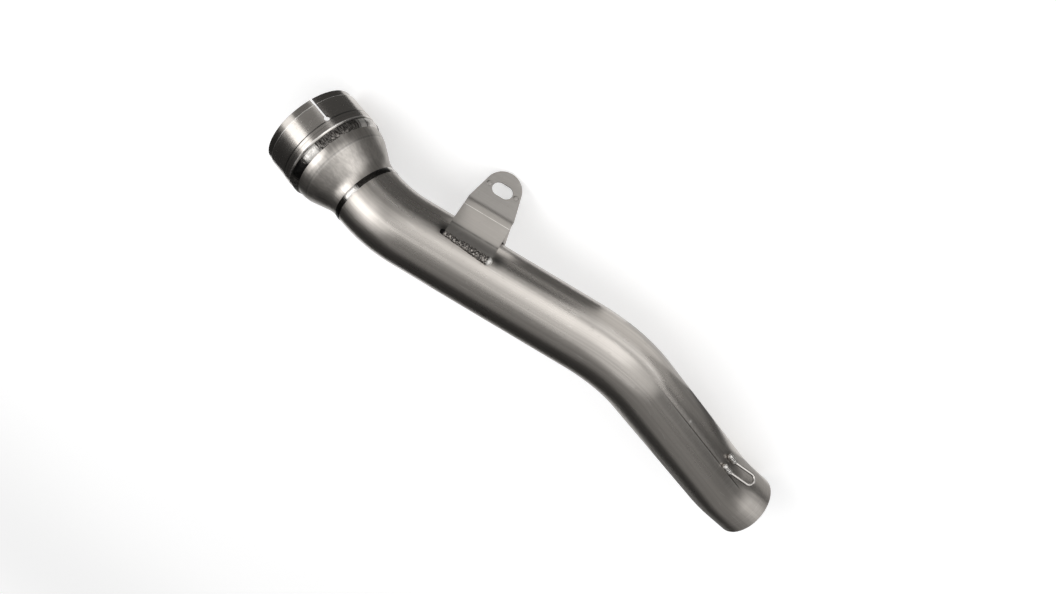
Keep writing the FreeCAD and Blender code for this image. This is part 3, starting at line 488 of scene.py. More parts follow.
def applied(piece: bpy.types.Object) -> None:
    """Turn a piece's modifiers into its mesh.

    Args:
        piece: the object, which keeps its name and materials.
    """
    graph = bpy.context.evaluated_depsgraph_get()
    mesh = bpy.data.meshes.new_from_object(piece.evaluated_get(graph), depsgraph=graph)
    old = piece.data
    piece.modifiers.clear()
    piece.data = mesh
    bpy.data.meshes.remove(old)


def skin_grid(
        line: CentreLine,
        profile: np.ndarray,
        columns: int,
        lift: Optional[Callable[[float, float], float]] = None) -> tuple[np.ndarray, np.ndarray]:
    """Carry a profile round the centre line.

    Args:
        line: the centre line.
        profile: pairs of station and radius.
        columns: how many points each ring has.
        lift: a height over the profile, from station and clock angle.

    Returns:
        The points and the skin places, as rows, columns and coordinates.
    """
    clocks = np.arange(columns) * (2.0 * pi / columns)
    cosines = np.cos(clocks)
    sines = np.sin(clocks)
    points = np.zeros((len(profile), columns, 3))
    skins = np.zeros((len(profile), columns, 3))
    for row, (station, radius) in enumerate(profile):
        here = line.at(float(station))
        radii = np.full(columns, float(radius))
        if lift is not None:
            radii = radii + np.array([lift(float(station), float(clock)) for clock in clocks])
        points[row] = here.origin + np.outer(radii * cosines, here.x) + np.outer(radii * sines, here.y)
        skins[row, :, 0] = radius * cosines
        skins[row, :, 1] = radius * sines
        skins[row, :, 2] = station
    return points, skins


def wavy(place: Sequence[float], pitch: float, seed: float) -> float:
    """Return smooth noise between about -1 and 1, from a place in millimetres."""
    spot = Vector((place[0] / pitch + seed, place[1] / pitch - seed, place[2] / pitch + 2.0 * seed))
    return noise.noise(spot)


def own(piece: bpy.types.Object, node: str, slot: Slot, material: bpy.types.Material) -> None:
    """Dress a piece, hang it under the root and hide the node that it replaces.

    Args:
        piece: the object.
        node: the node that it replaces.
        slot: not used.
        material: its finish.
    """
    piece.data.materials.clear()
    piece.data.materials.append(material)
    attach(piece, ROOT)
    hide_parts(node)
    LOG.info("%s: %d faces", piece.name, len(piece.data.polygons))


# Pieces


@dataclass(frozen=True)
class InletCollar:
    """Turned clamp collar with a stepped lip, a raised band and keyhole slots."""

    length: float = COLLAR_LENGTH
    bore_radius: float = 36.1
    sleeve_radius: float = 38.25
    lip_length: float = 5.3
    lip_step: float = 0.75
    band_start: float = 21.4
    band_length: float = 5.9
    band_rise: float = 0.35
    tail_chamfer: float = 1.3
    tail_drop: float = 0.35
    slot_count: int = 3
    slot_width: float = 2.0
    slot_reach: float = 19.1
    relief_diameter: float = 4.4
    slot_clock: float = 101.0
    edge: float = 0.18
    cut_margin: float = 3.0
    arc_steps: int = 40
    spacing: float = 4.0
    columns: int = 384

    def profile(self) -> np.ndarray:
        """Draw the closed section of the wall.

        Returns:
            Its station and radius, point by point.
        """
        lip = self.sleeve_radius - self.lip_step
        band = self.sleeve_radius + self.band_rise
        welded_end = self.sleeve_radius - self.tail_drop
        band_end = self.band_start + self.band_length
        corners = [
            Corner(0.0, lip, self.edge * 1.6),
            Corner(self.lip_length, lip, self.edge),
            Corner(self.lip_length, self.sleeve_radius, self.edge),
            Corner(self.band_start, self.sleeve_radius, self.edge * 0.6),
            Corner(self.band_start, band, self.edge * 0.6),
            Corner(band_end, band, self.edge),
            Corner(band_end + self.tail_chamfer, welded_end, self.edge),
            Corner(self.length, welded_end),
            Corner(self.length, self.bore_radius),
            Corner(0.0, self.bore_radius, self.edge * 1.6),
        ]
        return divided(rounded_loop(corners), self.spacing)

    def cutter(self, line: CentreLine, clock: float) -> bpy.types.Object:
        """Return the keyhole-shaped bar that cuts one slot.

        Args:
            line: the centre line.
            clock: the slot's clock angle in radians.

        Returns:
            A closed mesh that runs outwards through the wall.
        """
        half = self.slot_width / 2.0
        radius = self.relief_diameter / 2.0
        open_end = -self.slot_width
        start_angle = asin(half / radius)
        sweep = 2.0 * pi - 2.0 * start_angle
        outline = [(-half, open_end), (half, open_end)]
        for step in range(self.arc_steps + 1):
            angle = -pi / 2.0 + start_angle + sweep * step / self.arc_steps
            outline.append((radius * cos(angle), self.slot_reach + radius * sin(angle)))
        mouth = line.at(0.0)
        radial = mouth.x * cos(clock) + mouth.y * sin(clock)
        tangent = np.cross(mouth.z, radial)
        rings = []
        for depth in (self.bore_radius - self.cut_margin, self.sleeve_radius + self.cut_margin):
            rings.append([
                mouth.origin + radial * depth + tangent * across + mouth.z * station
                for across, station in outline])
        count = len(outline)
        faces = [tuple(range(count - 1, -1, -1)), tuple(range(count, 2 * count))]
        for number in range(count):
            following = (number + 1) % count
            faces.append((number, following, following + count, number + count))
        return bare_shape("SlotCutter", (np.array(rings).reshape(-1, 3) * MM).tolist(), faces)

    def build(self, line: CentreLine, welds: WeldMap) -> bpy.types.Object:
        """Build the collar and cut its slots.

        Args:
            line: the centre line.
            welds: where the welds lie.

        Returns:
            The collar.
        """
        plan = MeshPlan()
        points, skins = skin_grid(line, self.profile(), self.columns)
        plan.add_grid(points, skins, True, True)
        collar = plan.build("clamp_collar", welds=welds)
        for number in range(self.slot_count):
            clock = radians(self.slot_clock + 360.0 * number / self.slot_count)
            cutter = self.cutter(line, clock)
            modifier = collar.modifiers.new("Slot", "BOOLEAN")
            modifier.operation = "DIFFERENCE"
            modifier.solver = "EXACT"
            modifier.object = cutter
            applied(collar)
            bpy.data.objects.remove(cutter)
        finish_shading(collar.data, SHARP_DEGREES)
        level_normals(collar)
        return collar


@dataclass(frozen=True)
class Reducer:
    """Spun reducer: land, cone and neck with wide blends between them."""

    start: float = COLLAR_LENGTH
    large_radius: float = 36.9
    land_length: float = 11.5
    land_drop: float = 0.6
    cone_length: float = 20.0
    neck_radius: float = TUBE_RADIUS
    neck_length: float = 7.0
    wall: float = TUBE_WALL
    shoulder_blend: float = 24.0
    neck_blend: float = 20.0
    blend_steps: int = 14
    spacing: float = 1.5
    columns: int = 256

    def profile(self) -> np.ndarray:
        """Draw the closed section of the wall.

        Returns:
            Its station and radius, point by point.
        """
        shoulder = self.start + self.land_length
        neck = shoulder + self.cone_length
        end = neck + self.neck_length
        top = self.large_radius - self.land_drop
        corners = [
            Corner(self.start, self.large_radius),
            Corner(shoulder, top, self.shoulder_blend),
            Corner(neck, self.neck_radius, self.neck_blend),
            Corner(end, self.neck_radius),
            Corner(end, self.neck_radius - self.wall),
            Corner(neck, self.neck_radius - self.wall, self.neck_blend + self.wall),
            Corner(shoulder, top - self.wall, self.shoulder_blend - self.wall),
            Corner(self.start, self.large_radius - self.wall),
        ]
        return divided(rounded_loop(corners, self.blend_steps), self.spacing)

    def build(self, line: CentreLine, welds: WeldMap) -> bpy.types.Object:
        """Build the reducer.

        Args:
            line: the centre line.
            welds: where the welds lie.

        Returns:
            The reducer.
        """
        plan = MeshPlan()
        points, skins = skin_grid(line, self.profile(), self.columns)
        plan.add_grid(points, skins, True, True)
        return plan.build("reducer", welds=welds)


@dataclass(frozen=True)
class BentTube:
    """Thin tube with three bends and a plain cut outlet."""

    start: float = COLLAR_LENGTH + REDUCER_LENGTH
    radius: float = TUBE_RADIUS
    wall: float = TUBE_WALL
    rim: float = 0.25
    columns: int = 160
    spacing: float = 2.0

    def build(self, line: CentreLine, welds: WeldMap) -> bpy.types.Object:
        """Build the tube.

        Args:
            line: the centre line.
            welds: where the welds lie.

        Returns:
            The tube.
        """
        end = line.length
        inner = self.radius - self.wall
        corners = [
            Corner(self.start, self.radius),
            Corner(end, self.radius, self.rim),
            Corner(end, inner, self.rim),
            Corner(self.start, inner),
        ]
        plan = MeshPlan()
        points, skins = skin_grid(line, divided(rounded_loop(corners), self.spacing), self.columns)
        plan.add_grid(points, skins, True, True)
        tube = plan.build("bent_tube", welds=welds)
        level_normals(tube)
        return tube


@dataclass(frozen=True)
class RingBead:
    """Rippled weld bead round the pipe."""

    name: str
    low: tuple[float, float]
    high: tuple[float, float]
    crown: float
    ripple_pitch: float
    ripple_height: float
    roughness: float
    seed: float
    chevron: float = 1.6
    drift: float = 0.9
    drift_pitch: float = 9.0
    lump_pitch: float = 2.6
    speck_pitch: float = 1.1
    speck_share: float = 0.6
    columns: int = 720
    rows: int = 22

    def profile(self) -> np.ndarray:
        """Draw the open section of the bead's face, sunk a little at both feet.

        Returns:
            Its station and radius, point by point.
        """
        first = np.array(self.low)
        last = np.array(self.high)
        chord = last - first
        span = float(np.linalg.norm(chord))
        out = unit(np.array([-chord[1], chord[0]]))
        depth = sqrt(self.crown ** 2 - (span / 2.0) ** 2)
        centre = (first + last) / 2.0 - out * depth
        half = asin(span / 2.0 / self.crown)
        bearing = atan2(out[1], out[0])
        section = []
        for row in range(self.rows + 1):
            angle = bearing + half - 2.0 * half * row / self.rows
            section.append(centre + self.crown * np.array([cos(angle), sin(angle)]))
        return np.array(section)

    def lift(self, station: float, clock: float) -> float:
        """Find the height of the ripples and lumps at a spot of the bead.

        Args:
            station: the distance from the mouth.
            clock: the clock angle in radians.

        Returns:
            The height over the bead's plain face.
        """
        middle = (self.low[0] + self.high[0]) / 2.0
        half = (self.high[0] - self.low[0]) / 2.0
        share = (station - middle) / half
        edge = max(0.0, 1.0 - share ** 4)
        turns = round(2.0 * pi * self.low[1] / self.ripple_pitch)
        chevron = self.chevron * (share ** 2) * half
        spot = (self.low[1] * cos(clock), self.low[1] * sin(clock), station)
        drift = self.drift * wavy(spot, self.drift_pitch, self.seed)
        phase = clock * turns + (chevron + drift) * 2.0 * pi / self.ripple_pitch
        ripple = abs(cos(phase / 2.0)) - RIPPLE_MIDDLE
        specks = wavy(spot, self.speck_pitch, self.seed + 7.7)
        lumps = wavy(spot, self.lump_pitch, self.seed + 3.1) + self.speck_share * specks
        return edge * (self.ripple_height * ripple + self.roughness * lumps)

    def build(self, line: CentreLine) -> bpy.types.Object:
        """Build the bead.

        Args:
            line: the centre line.

        Returns:
            The bead, open towards the pipe.
        """
        plan = MeshPlan()
        points, skins = skin_grid(line, self.profile(), self.columns, self.lift)
        plan.add_grid(points, skins, False, True)
        return plan.build(self.name, NEVER_SHARP)


@dataclass(frozen=True)
class LaidBead:
    """Rippled weld bead laid along a straight seat, round where it shows."""

    name: str
    start: tuple[float, float, float]
    end: tuple[float, float, float]
    outward: tuple[float, float, float]
    start_radius: float
    end_radius: float
    ripple_pitch: float
    ripple_height: float
    roughness: float
    seed: float
    chevron: float = 0.55
    drift: float = 0.8
    drift_pitch: float = 5.0
    lump_pitch: float = 2.4
    speck_pitch: float = 0.9
    speck_share: float = 0.5
    least_ring: float = 0.01
    columns: int = 56
    spacing: float = 0.22

    def lift(self, reach: float, ring: float, clock: float) -> float:
        """Find the height of the ripples and lumps at a spot of the bead.

        Args:
            reach: the distance from the start along the seat.
            ring: the bead's radius there.
            clock: the turn about the bead, from its outward side, in radians.

        Returns:
            The height over the bead's plain face.
        """
        chevron = self.chevron * self.ripple_pitch * (1.0 - cos(clock))
        phase = (reach + chevron) * pi / self.ripple_pitch
        spot = (reach, ring * cos(clock), ring * sin(clock))
        drift = self.drift * wavy(spot, self.drift_pitch, self.seed)
        ripple = abs(cos(phase + drift)) - RIPPLE_MIDDLE
        specks = wavy(spot, self.speck_pitch, self.seed + 5.9)
        lumps = wavy(spot, self.lump_pitch, self.seed + 2.3) + self.speck_share * specks
        return self.ripple_height * ripple + self.roughness * lumps

    def build(self, place: Place) -> bpy.types.Object:
        """Build the bead in a place.

        Args:
            place: the frame that the start, the end and the outward way are given in.

        Returns:
            The bead, closed at its round ends.
        """
        start = place.point(self.start)
        end = place.point(self.end)
        way = unit(end - start)
        out = place.way(self.outward)
        out = unit(out - way * float(np.dot(out, way)))
        side = np.cross(way, out)
        span = float(np.linalg.norm(end - start))
        full = span + self.start_radius + self.end_radius
        rows = int(full / self.spacing)
        clocks = np.arange(self.columns) * (2.0 * pi / self.columns)
        points = np.zeros((rows + 1, self.columns, 3))
        skins = np.zeros((rows + 1, self.columns, 3))
        for row in range(rows + 1):
            reach = -self.start_radius + full * row / rows
            share = min(max(reach / span, 0.0), 1.0)
            radius = self.start_radius + (self.end_radius - self.start_radius) * share
            over = max(-reach, reach - span, 0.0)
            ring = sqrt(max(radius ** 2 - over ** 2, 0.0)) + self.least_ring
            for column, clock in enumerate(clocks):
                upward = cos(clock)
                sideways = sin(clock)
                reached = ring + self.lift(reach, ring, clock) * min(1.0, ring / radius)
                points[row, column] = (
                    start + way * reach + out * (reached * upward) + side * (reached * sideways))
                skins[row, column] = (ring * upward, ring * sideways, reach)
        plan = MeshPlan()
        plan.add_grid(points, skins, False, True)
        plan.add_fan(range(self.columns), False)
        plan.add_fan(range(rows * self.columns, (rows + 1) * self.columns), True)
        return plan.build(self.name, NEVER_SHARP)


@dataclass(frozen=True)
class HangerSizes:
    """Sizes that both sheets of the hanger share."""

    station: float = 42.0
    thickness: float = 1.5
    tube_radius: float = TUBE_RADIUS
    ear_height: float = 62.8
    ear_radius: float = 14.7
    slot_length: float = 16.5
    slot_width: float = 10.5
    width: float = 38.8
    kink_height: float = 45.0
    edge: float = 0.28
    mesh_step: float = 1.3
    bevel_degrees: float = 55.0
    sharp_degrees: float = 40.0

    def place(self, line: CentreLine) -> Place:
        """Return the hanger's frame: its origin on the tube's axis, Z towards the ear."""
        rest = line.rest
        return Place(rest.point((self.station, 0.0, 0.0)), rest.x, rest.y, rest.z)


def ear_arc(
        corner_right: tuple[float, float],
        corner_left: tuple[float, float],
        centre: tuple[float, float],
        radius: float,
        steps: int = 64) -> list[tuple[float, float]]:
    """Return the points of a round ear between the tangents from two corners.

    Args:
        corner_right: the corner whose edge runs into the ear's right side.
        corner_left: the corner that the ear's left side runs to.
        centre: the ear's centre.
        radius: the ear's radius.
        steps: how many pieces the arc has.

    Returns:
        The arc's points, from right to left over the top.
    """
    angles = []
    for corner, side in ((corner_right, 1.0), (corner_left, -1.0)):
        across = corner[0] - centre[0]
        upward = corner[1] - centre[1]
        spread = acos(radius / hypot(across, upward))
        angles.append(atan2(upward, across) + side * spread)
    first, last = angles
    while last < first:
        last += 2.0 * pi
    return [
        (centre[0] + radius * cos(first + (last - first) * step / steps),
         centre[1] + radius * sin(first + (last - first) * step / steps))
        for step in range(steps + 1)]


def slot_loop(sizes: HangerSizes, steps: int = 20) -> list[tuple[float, float]]:
    """Draw the outline of the ear's lying slot.

    Args:
        sizes: the hanger's sizes.
        steps: how many pieces each round end has.

    Returns:
        The outline's points.
    """
    radius = sizes.slot_width / 2.0
    reach = (sizes.slot_length - sizes.slot_width) / 2.0
    loop = []
    for side, start in ((1.0, -pi / 2.0), (-1.0, pi / 2.0)):
        for step in range(steps + 1):
            angle = start + pi * step / steps
            height = sizes.ear_height + radius * sin(angle)
            loop.append((side * reach + radius * cos(angle), height))
    return loop


def inside(point: Sequence[float], loop: Sequence[Sequence[float]]) -> bool:
    """Test whether a point lies in a closed outline.

    Args:
        point: the point.
        loop: the outline's corners.

    Returns:
        True if it lies inside.
    """
    within = False
    for number, here in enumerate(loop):
        before = loop[number - 1]
        if (here[1] > point[1]) != (before[1] > point[1]):
            cross = (before[0] - here[0]) * (point[1] - here[1]) / (before[1] - here[1]) + here[0]
            if point[0] < cross:
                within = not within
    return within


def loop_distance(point: Sequence[float], loop: np.ndarray) -> float:
    """Return how far a point lies from the corners of a dense outline."""
    return float(np.min(np.hypot(loop[:, 0] - point[0], loop[:, 1] - point[1])))


def dense(loop: Sequence[tuple[float, float]], longest: float) -> list[tuple[float, float]]:
    """Return an outline with its long edges divided."""
    return [tuple(point) for point in divided(loop, longest).tolist()]


def flat_pattern(
        outer: list[tuple[float, float]],
        hole: list[tuple[float, float]],
        step: float,
        extra: Sequence[tuple[float, float]] = ()) -> tuple[np.ndarray, list[tuple[int, ...]]]:
    """Fill an outline with a hole by an even net of triangles.

    Args:
        outer: the outline.
        hole: the hole's outline.
        step: the size of the net.
        extra: more points that the net has to pass through.

    Returns:
        The net's points and faces in the plane.
    """
    outer_array = np.array(outer)
    hole_array = np.array(hole)
    low = outer_array.min(0)
    high = outer_array.max(0)
    points = [Vector(point) for point in outer] + [Vector(point) for point in hole]
    edges = [(number, (number + 1) % len(outer)) for number in range(len(outer))]
    first = len(outer)
    edges += [(first + number, first + (number + 1) % len(hole)) for number in range(len(hole))]
    extra_array = np.array(list(extra)) if len(extra) else None
    rows = int((high[1] - low[1]) / (step * ROW_SHARE))
    for row in range(1, rows + 1):
        shift = step / 2.0 if row % 2 else 0.0
        for column in range(int((high[0] - low[0]) / step) + 1):
            spot = (low[0] + shift + column * step, low[1] + row * step * ROW_SHARE)
            if not inside(spot, outer) or inside(spot, hole):
                continue
            if min(loop_distance(spot, outer_array), loop_distance(spot, hole_array)) < step * EDGE_SHARE:
                continue
            if extra_array is not None and loop_distance(spot, extra_array) < step * EXTRA_SHARE:
                continue
            points.append(Vector(spot))
    points += [Vector(point) for point in extra]
    made = geometry.delaunay_2d_cdt(points, edges, [], 1, 1e-5)
    net = np.array([tuple(point) for point in made[0]])
    faces = []
    for face in made[2]:
        middle = net[list(face)].mean(0)
        if not inside(middle, hole) and inside(middle, outer):
            faces.append(tuple(face))
    return net, faces


def thick_sheet(
        name: str,
        points: np.ndarray,
        skins: np.ndarray,
        faces: list[tuple[int, ...]],
        sizes: HangerSizes,
        welds: WeldMap) -> bpy.types.Object:
    """Give a net its thickness on both sides, with rounded edges.

    Args:
        name: the piece's name.
        points: the net in the middle of the sheet, in millimetres.
        skins: the net's places in the flat pattern.
        faces: the net's faces.
        sizes: the hanger's sizes.
        welds: where the welds lie.

    Returns:
        The sheet.
    """
    plan = MeshPlan()
    plan.add_points(points, skins)
    plan.faces = faces
    sheet = plan.build(name, welds=welds)
    solid = sheet.modifiers.new("Thickness", "SOLIDIFY")
    solid.thickness = sizes.thickness * MM
    solid.offset = 0.0
    solid.use_even_offset = True
    bevel = sheet.modifiers.new("Edges", "BEVEL")
    bevel.width = sizes.edge * MM
    bevel.segments = 3
    bevel.limit_method = "ANGLE"
    bevel.angle_limit = radians(sizes.bevel_degrees)
    applied(sheet)
    finish_shading(sheet.data, sizes.sharp_degrees)
    level_normals(sheet)
    return sheet


@dataclass(frozen=True)
class RearSheet:
    """Flat sheet behind the hanger's ear, cut to the tube."""

    sizes: HangerSizes
    heel: float = 22.6
    edge_step: float = 1.3
    coarseness: float = 1.6

    def build(self, place: Place, welds: WeldMap) -> bpy.types.Object:
        """Build the flat sheet.

        Args:
            place: the hanger's frame.
            welds: where the welds lie.

        Returns:
            The sheet.
        """
        sizes = self.sizes
        half = sizes.width / 2.0
        foot = sqrt(sizes.tube_radius ** 2 - (sizes.thickness / 2.0) ** 2)
        right = (self.heel, foot)
        left = (-half, sizes.kink_height)
        arc = ear_arc(right, left, (0.0, sizes.ear_height), sizes.ear_radius)
        outer = dense([(-half, foot), right] + arc + [left], self.edge_step)
        hole = slot_loop(sizes)
        net, faces = flat_pattern(outer, hole, sizes.mesh_step * self.coarseness)
        local = np.column_stack([net[:, 0], np.full(len(net), sizes.thickness / 2.0), net[:, 1]])
        skins = np.column_stack([net, np.zeros(len(net))])
        return thick_sheet("hanger_rear_sheet", place.points(local), skins, faces, sizes, welds)


@dataclass(frozen=True)
class FrontSheet:
    """Front sheet of the hanger: flat ear, bent leg, foot rolled to the tube, two dimples."""

    sizes: HangerSizes
    leg_angle: float = 38.0
    bend_radius: float = 8.0
    foot_clock: float = 74.0
    dimple_spacing: float = 22.6
    dimple_radius: float = 1.8
    dimple_rise: float = 0.4
    dimple_crown: float = 0.75
    dimple_edge: float = 1.12
    dimple_rings: tuple[float, ...] = (0.45, 0.75, 0.88, 1.0, 1.12, 1.3)
    dimple_steps: int = 24
    edge_step: float = 0.9

    def bend_centre(self) -> tuple[float, float]:
        """Find the centre of the leg's upper bend.

        Returns:
            Its depth and height.
        """
        lean = radians(self.leg_angle)
        depth = -(self.sizes.thickness + self.bend_radius)
        reach = self.sizes.tube_radius + self.sizes.thickness + self.bend_radius
        return depth, (reach + depth * cos(lean)) / sin(lean)

    def leg_line(self) -> tuple[tuple[float, float], tuple[float, float], float]:
        """Find the straight part of the leg, in the middle of the sheet.

        Returns:
            Its top and the spot where the foot's roll begins, as depth and height, and
            its length.
        """
        lean = radians(self.leg_angle)
        centre_depth, centre_height = self.bend_centre()
        bend = self.bend_radius + self.sizes.thickness / 2.0
        foot = self.sizes.tube_radius + self.sizes.thickness / 2.0
        touch = pi - lean
        top = (centre_depth + bend * cos(lean), centre_height - bend * sin(lean))
        base = (foot * cos(touch), foot * sin(touch))
        return top, base, hypot(base[0] - top[0], base[1] - top[1])

    def folded(self, height: float) -> tuple[float, float, float, float]:
        """Return where a height of the flat pattern lies once the sheet is bent.

        Args:
            height: the height in the flat pattern, true over the bend.

        Returns:
            The depth and height of the middle of the sheet, and its front's direction.
        """
        lean = radians(self.leg_angle)
        half = self.sizes.thickness / 2.0
        centre_depth, centre_height = self.bend_centre()
        bend = self.bend_radius + half
        foot = self.sizes.tube_radius + half
        if height >= centre_height:
            return -half, height, -1.0, 0.0
        reach = centre_height - height
        bend_length = bend * lean
        if reach <= bend_length:
            angle = reach / bend
            return (
                centre_depth + bend * cos(angle), centre_height - bend * sin(angle),
                -cos(angle), sin(angle))
        reach -= bend_length
        top, base, leg = self.leg_line()
        if reach <= leg:
            share = reach / leg
            return (
                top[0] + (base[0] - top[0]) * share, top[1] + (base[1] - top[1]) * share,
                -cos(lean), sin(lean))
        angle = pi - lean + (reach - leg) / foot
        return foot * cos(angle), foot * sin(angle), cos(angle), sin(angle)

    def foot_height(self) -> float:
        """Find the flat pattern's height at the end of the foot.

        Returns:
            The height.
        """
        lean = radians(self.leg_angle)
        half = self.sizes.thickness / 2.0
        roll = (radians(90.0 + self.foot_clock) - (pi - lean)) * (self.sizes.tube_radius + half)
        return self.bend_centre()[1] - (self.bend_radius + half) * lean - self.leg_line()[2] - roll

    def dimple_points(self) -> list[tuple[float, float]]:
        """Draw rings of points round both dimples, for the net to follow them.

        Returns:
            The points of the flat pattern.
        """
        ear_height = self.sizes.ear_height
        spots = []
        for side in (-1.0, 1.0):
            centre = side * self.dimple_spacing / 2.0
            spots.append((centre, ear_height))
            for ring in self.dimple_rings:
                for step in range(self.dimple_steps):
                    angle = 2.0 * pi * step / self.dimple_steps
                    spots.append((
                        centre + ring * self.dimple_radius * cos(angle),
                        ear_height + ring * self.dimple_radius * sin(angle)))
        return spots

    def dimple_lift(self, across: float, height: float) -> float:
        """Find how far a dimple lifts the sheet at a spot.

        Args:
            across: the spot's distance from the sheet's middle.
            height: its height in the flat pattern.

        Returns:
            The rise of the sheet.
        """
        gap = min(
            hypot(across - side * self.dimple_spacing / 2.0, height - self.sizes.ear_height)
            for side in (-1.0, 1.0))
        share = gap / self.dimple_radius
        if share >= self.dimple_edge:
            return 0.0
        if share <= self.dimple_crown:
            return self.dimple_rise
        turn = (share - self.dimple_crown) / (self.dimple_edge - self.dimple_crown)
        return self.dimple_rise * 0.5 * (1.0 + cos(pi * turn))

    def build(self, place: Place, welds: WeldMap) -> bpy.types.Object:
        """Build the bent sheet.

        Args:
            place: the hanger's frame.
            welds: where the welds lie.

        Returns:
            The sheet.
        """
        sizes = self.sizes
        half = sizes.width / 2.0
        margin = sizes.thickness
        base_height = sizes.kink_height - margin * 3.0
        right = (half + margin, base_height)
        left = (-half - margin, base_height)
        arc = ear_arc(right, left, (0.0, sizes.ear_height), sizes.ear_radius)
        touch_right = arc[0]
        share = (right[0] - half) / (right[0] - touch_right[0])
        kink = base_height + (touch_right[1] - base_height) * share
        foot = self.foot_height()
        outer = dense([(-half, foot), (half, foot), (half, kink)] + arc + [(-half, kink)], self.edge_step)
        hole = slot_loop(sizes)
        net, faces = flat_pattern(outer, hole, sizes.mesh_step, self.dimple_points())
        local = np.zeros((len(net), 3))
        for number, (across, height) in enumerate(net):
            depth, folded_height, out_depth, out_height = self.folded(float(height))
            lift = self.dimple_lift(float(across), float(height))
            local[number] = (across, depth + out_depth * lift, folded_height + out_height * lift)
        skins = np.column_stack([net, np.zeros(len(net))])
        return thick_sheet("hanger_front_sheet", place.points(local), skins, faces, sizes, welds)


@dataclass(frozen=True)
class SpringHook:
    """Bent wire: two legs on the tube and a raised loop towards the outlet."""

    wire: float = 2.5
    gap: float = 9.5
    leg: float = 7.0
    rise: float = 32.0
    reach: float = 16.0
    knee_radius: float = 5.0
    setback: float = 27.0
    clock: float = 5.0
    tube_radius: float = TUBE_RADIUS
    bead_radius: float = 2.3
    bead_length: float = 7.0
    leg_steps: int = 8
    knee_steps: int = 12
    rise_steps: int = 24
    loop_steps: int = 40
    columns: int = 28

    def place(self, line: CentreLine) -> Place:
        """Find the hook's frame.

        Args:
            line: the centre line.

        Returns:
            A frame with X along the tube, Z away from it and its origin on the tube's axis.
        """
        base = line.tail_bend_start
        outward = turned(line.tail_side, base.z, radians(self.clock))
        origin = base.origin - base.z * self.setback
        return Place(origin, base.z, np.cross(outward, base.z), outward)

    def path(self) -> np.ndarray:
        """Draw the wire's centre line.

        Returns:
            Its points, close together, in the hook's frame.
        """
        level = self.tube_radius + self.wire / 2.0
        half = self.gap / 2.0
        rise = radians(self.rise)
        climb = np.array([cos(rise), 0.0, sin(rise)])
        ahead = np.array([1.0, 0.0, 0.0])
        up = np.array([0.0, 0.0, 1.0])
        knee = np.array([self.leg, 0.0, level])
        setback = self.knee_radius * tan(rise / 2.0)
        knee_start = knee - ahead * setback
        side_points = [
            up * level + ahead * (self.leg - setback) * share
            for share in np.linspace(0.0, 1.0, self.leg_steps)]
        centre = knee_start + up * self.knee_radius
        for angle in np.linspace(0.0, rise, self.knee_steps)[1:]:
            side_points.append(centre + self.knee_radius * (ahead * sin(angle) - up * cos(angle)))
        loop_base = knee + climb * self.reach
        start = side_points[-1]
        for share in np.linspace(0.0, 1.0, self.rise_steps)[1:]:
            side_points.append(start + (loop_base - start) * share)
        side = np.array(side_points)
        shift = np.array([0.0, half, 0.0])
        loop = [
            loop_base + climb * half * sin(angle) + np.array([0.0, half * cos(angle), 0.0])
            for angle in np.linspace(0.0, pi, self.loop_steps)[1:-1]]
        return np.concatenate([side + shift, np.array(loop), side[::-1] - shift])

    def build(self, line: CentreLine) -> bpy.types.Object:
        """Build the wire.

        Args:
            line: the centre line.

        Returns:
            The wire, closed at its ends.
        """
        place = self.place(line)
        path = place.points(self.path())
        ways = np.gradient(path, axis=0)
        ways = ways / np.linalg.norm(ways, axis=1)[:, None]
        steps = np.linalg.norm(np.diff(path, axis=0), axis=1)
        reaches = np.concatenate([[0.0], np.cumsum(steps)])
        clocks = np.arange(self.columns) * (2.0 * pi / self.columns)
        points = np.zeros((len(path), self.columns, 3))
        skins = np.zeros((len(path), self.columns, 3))
        side = unit(np.cross(ways[0], place.z))
        for row, (spot, way) in enumerate(zip(path, ways)):
            side = unit(side - way * float(np.dot(side, way)))
            other = np.cross(way, side)
            radius = self.wire / 2.0
            points[row] = spot + radius * (np.outer(np.cos(clocks), side) + np.outer(np.sin(clocks), other))
            skins[row] = np.column_stack([
                radius * np.cos(clocks), radius * np.sin(clocks), np.full(self.columns, reaches[row])])
        plan = MeshPlan()
        plan.add_grid(points, skins, False, True)
        plan.add_fan(range(self.columns), False)
        plan.add_fan(range((len(path) - 1) * self.columns, len(path) * self.columns), True)
        return plan.build("spring_hook_wire")

    def beads(self) -> list[LaidBead]:
        """Plan the beads over the two legs.

        Returns:
            The beads, in the hook's frame.
        """
        level = self.tube_radius + self.wire / 2.0
        start_x = -self.bead_radius / 2.0
        made = []
        for name, side, seed in (("hook_bead_left", 1.0, 4.2), ("hook_bead_right", -1.0, 9.6)):
            across = side * self.gap / 2.0
            made.append(LaidBead(
                name, (start_x, across, level), (start_x + self.bead_length, across, level), (0.0, 0.0, 1.0),
                start_radius=self.bead_radius, end_radius=self.bead_radius,
                ripple_pitch=1.9, ripple_height=0.22, roughness=0.20, seed=seed))
        return made


# Finishes


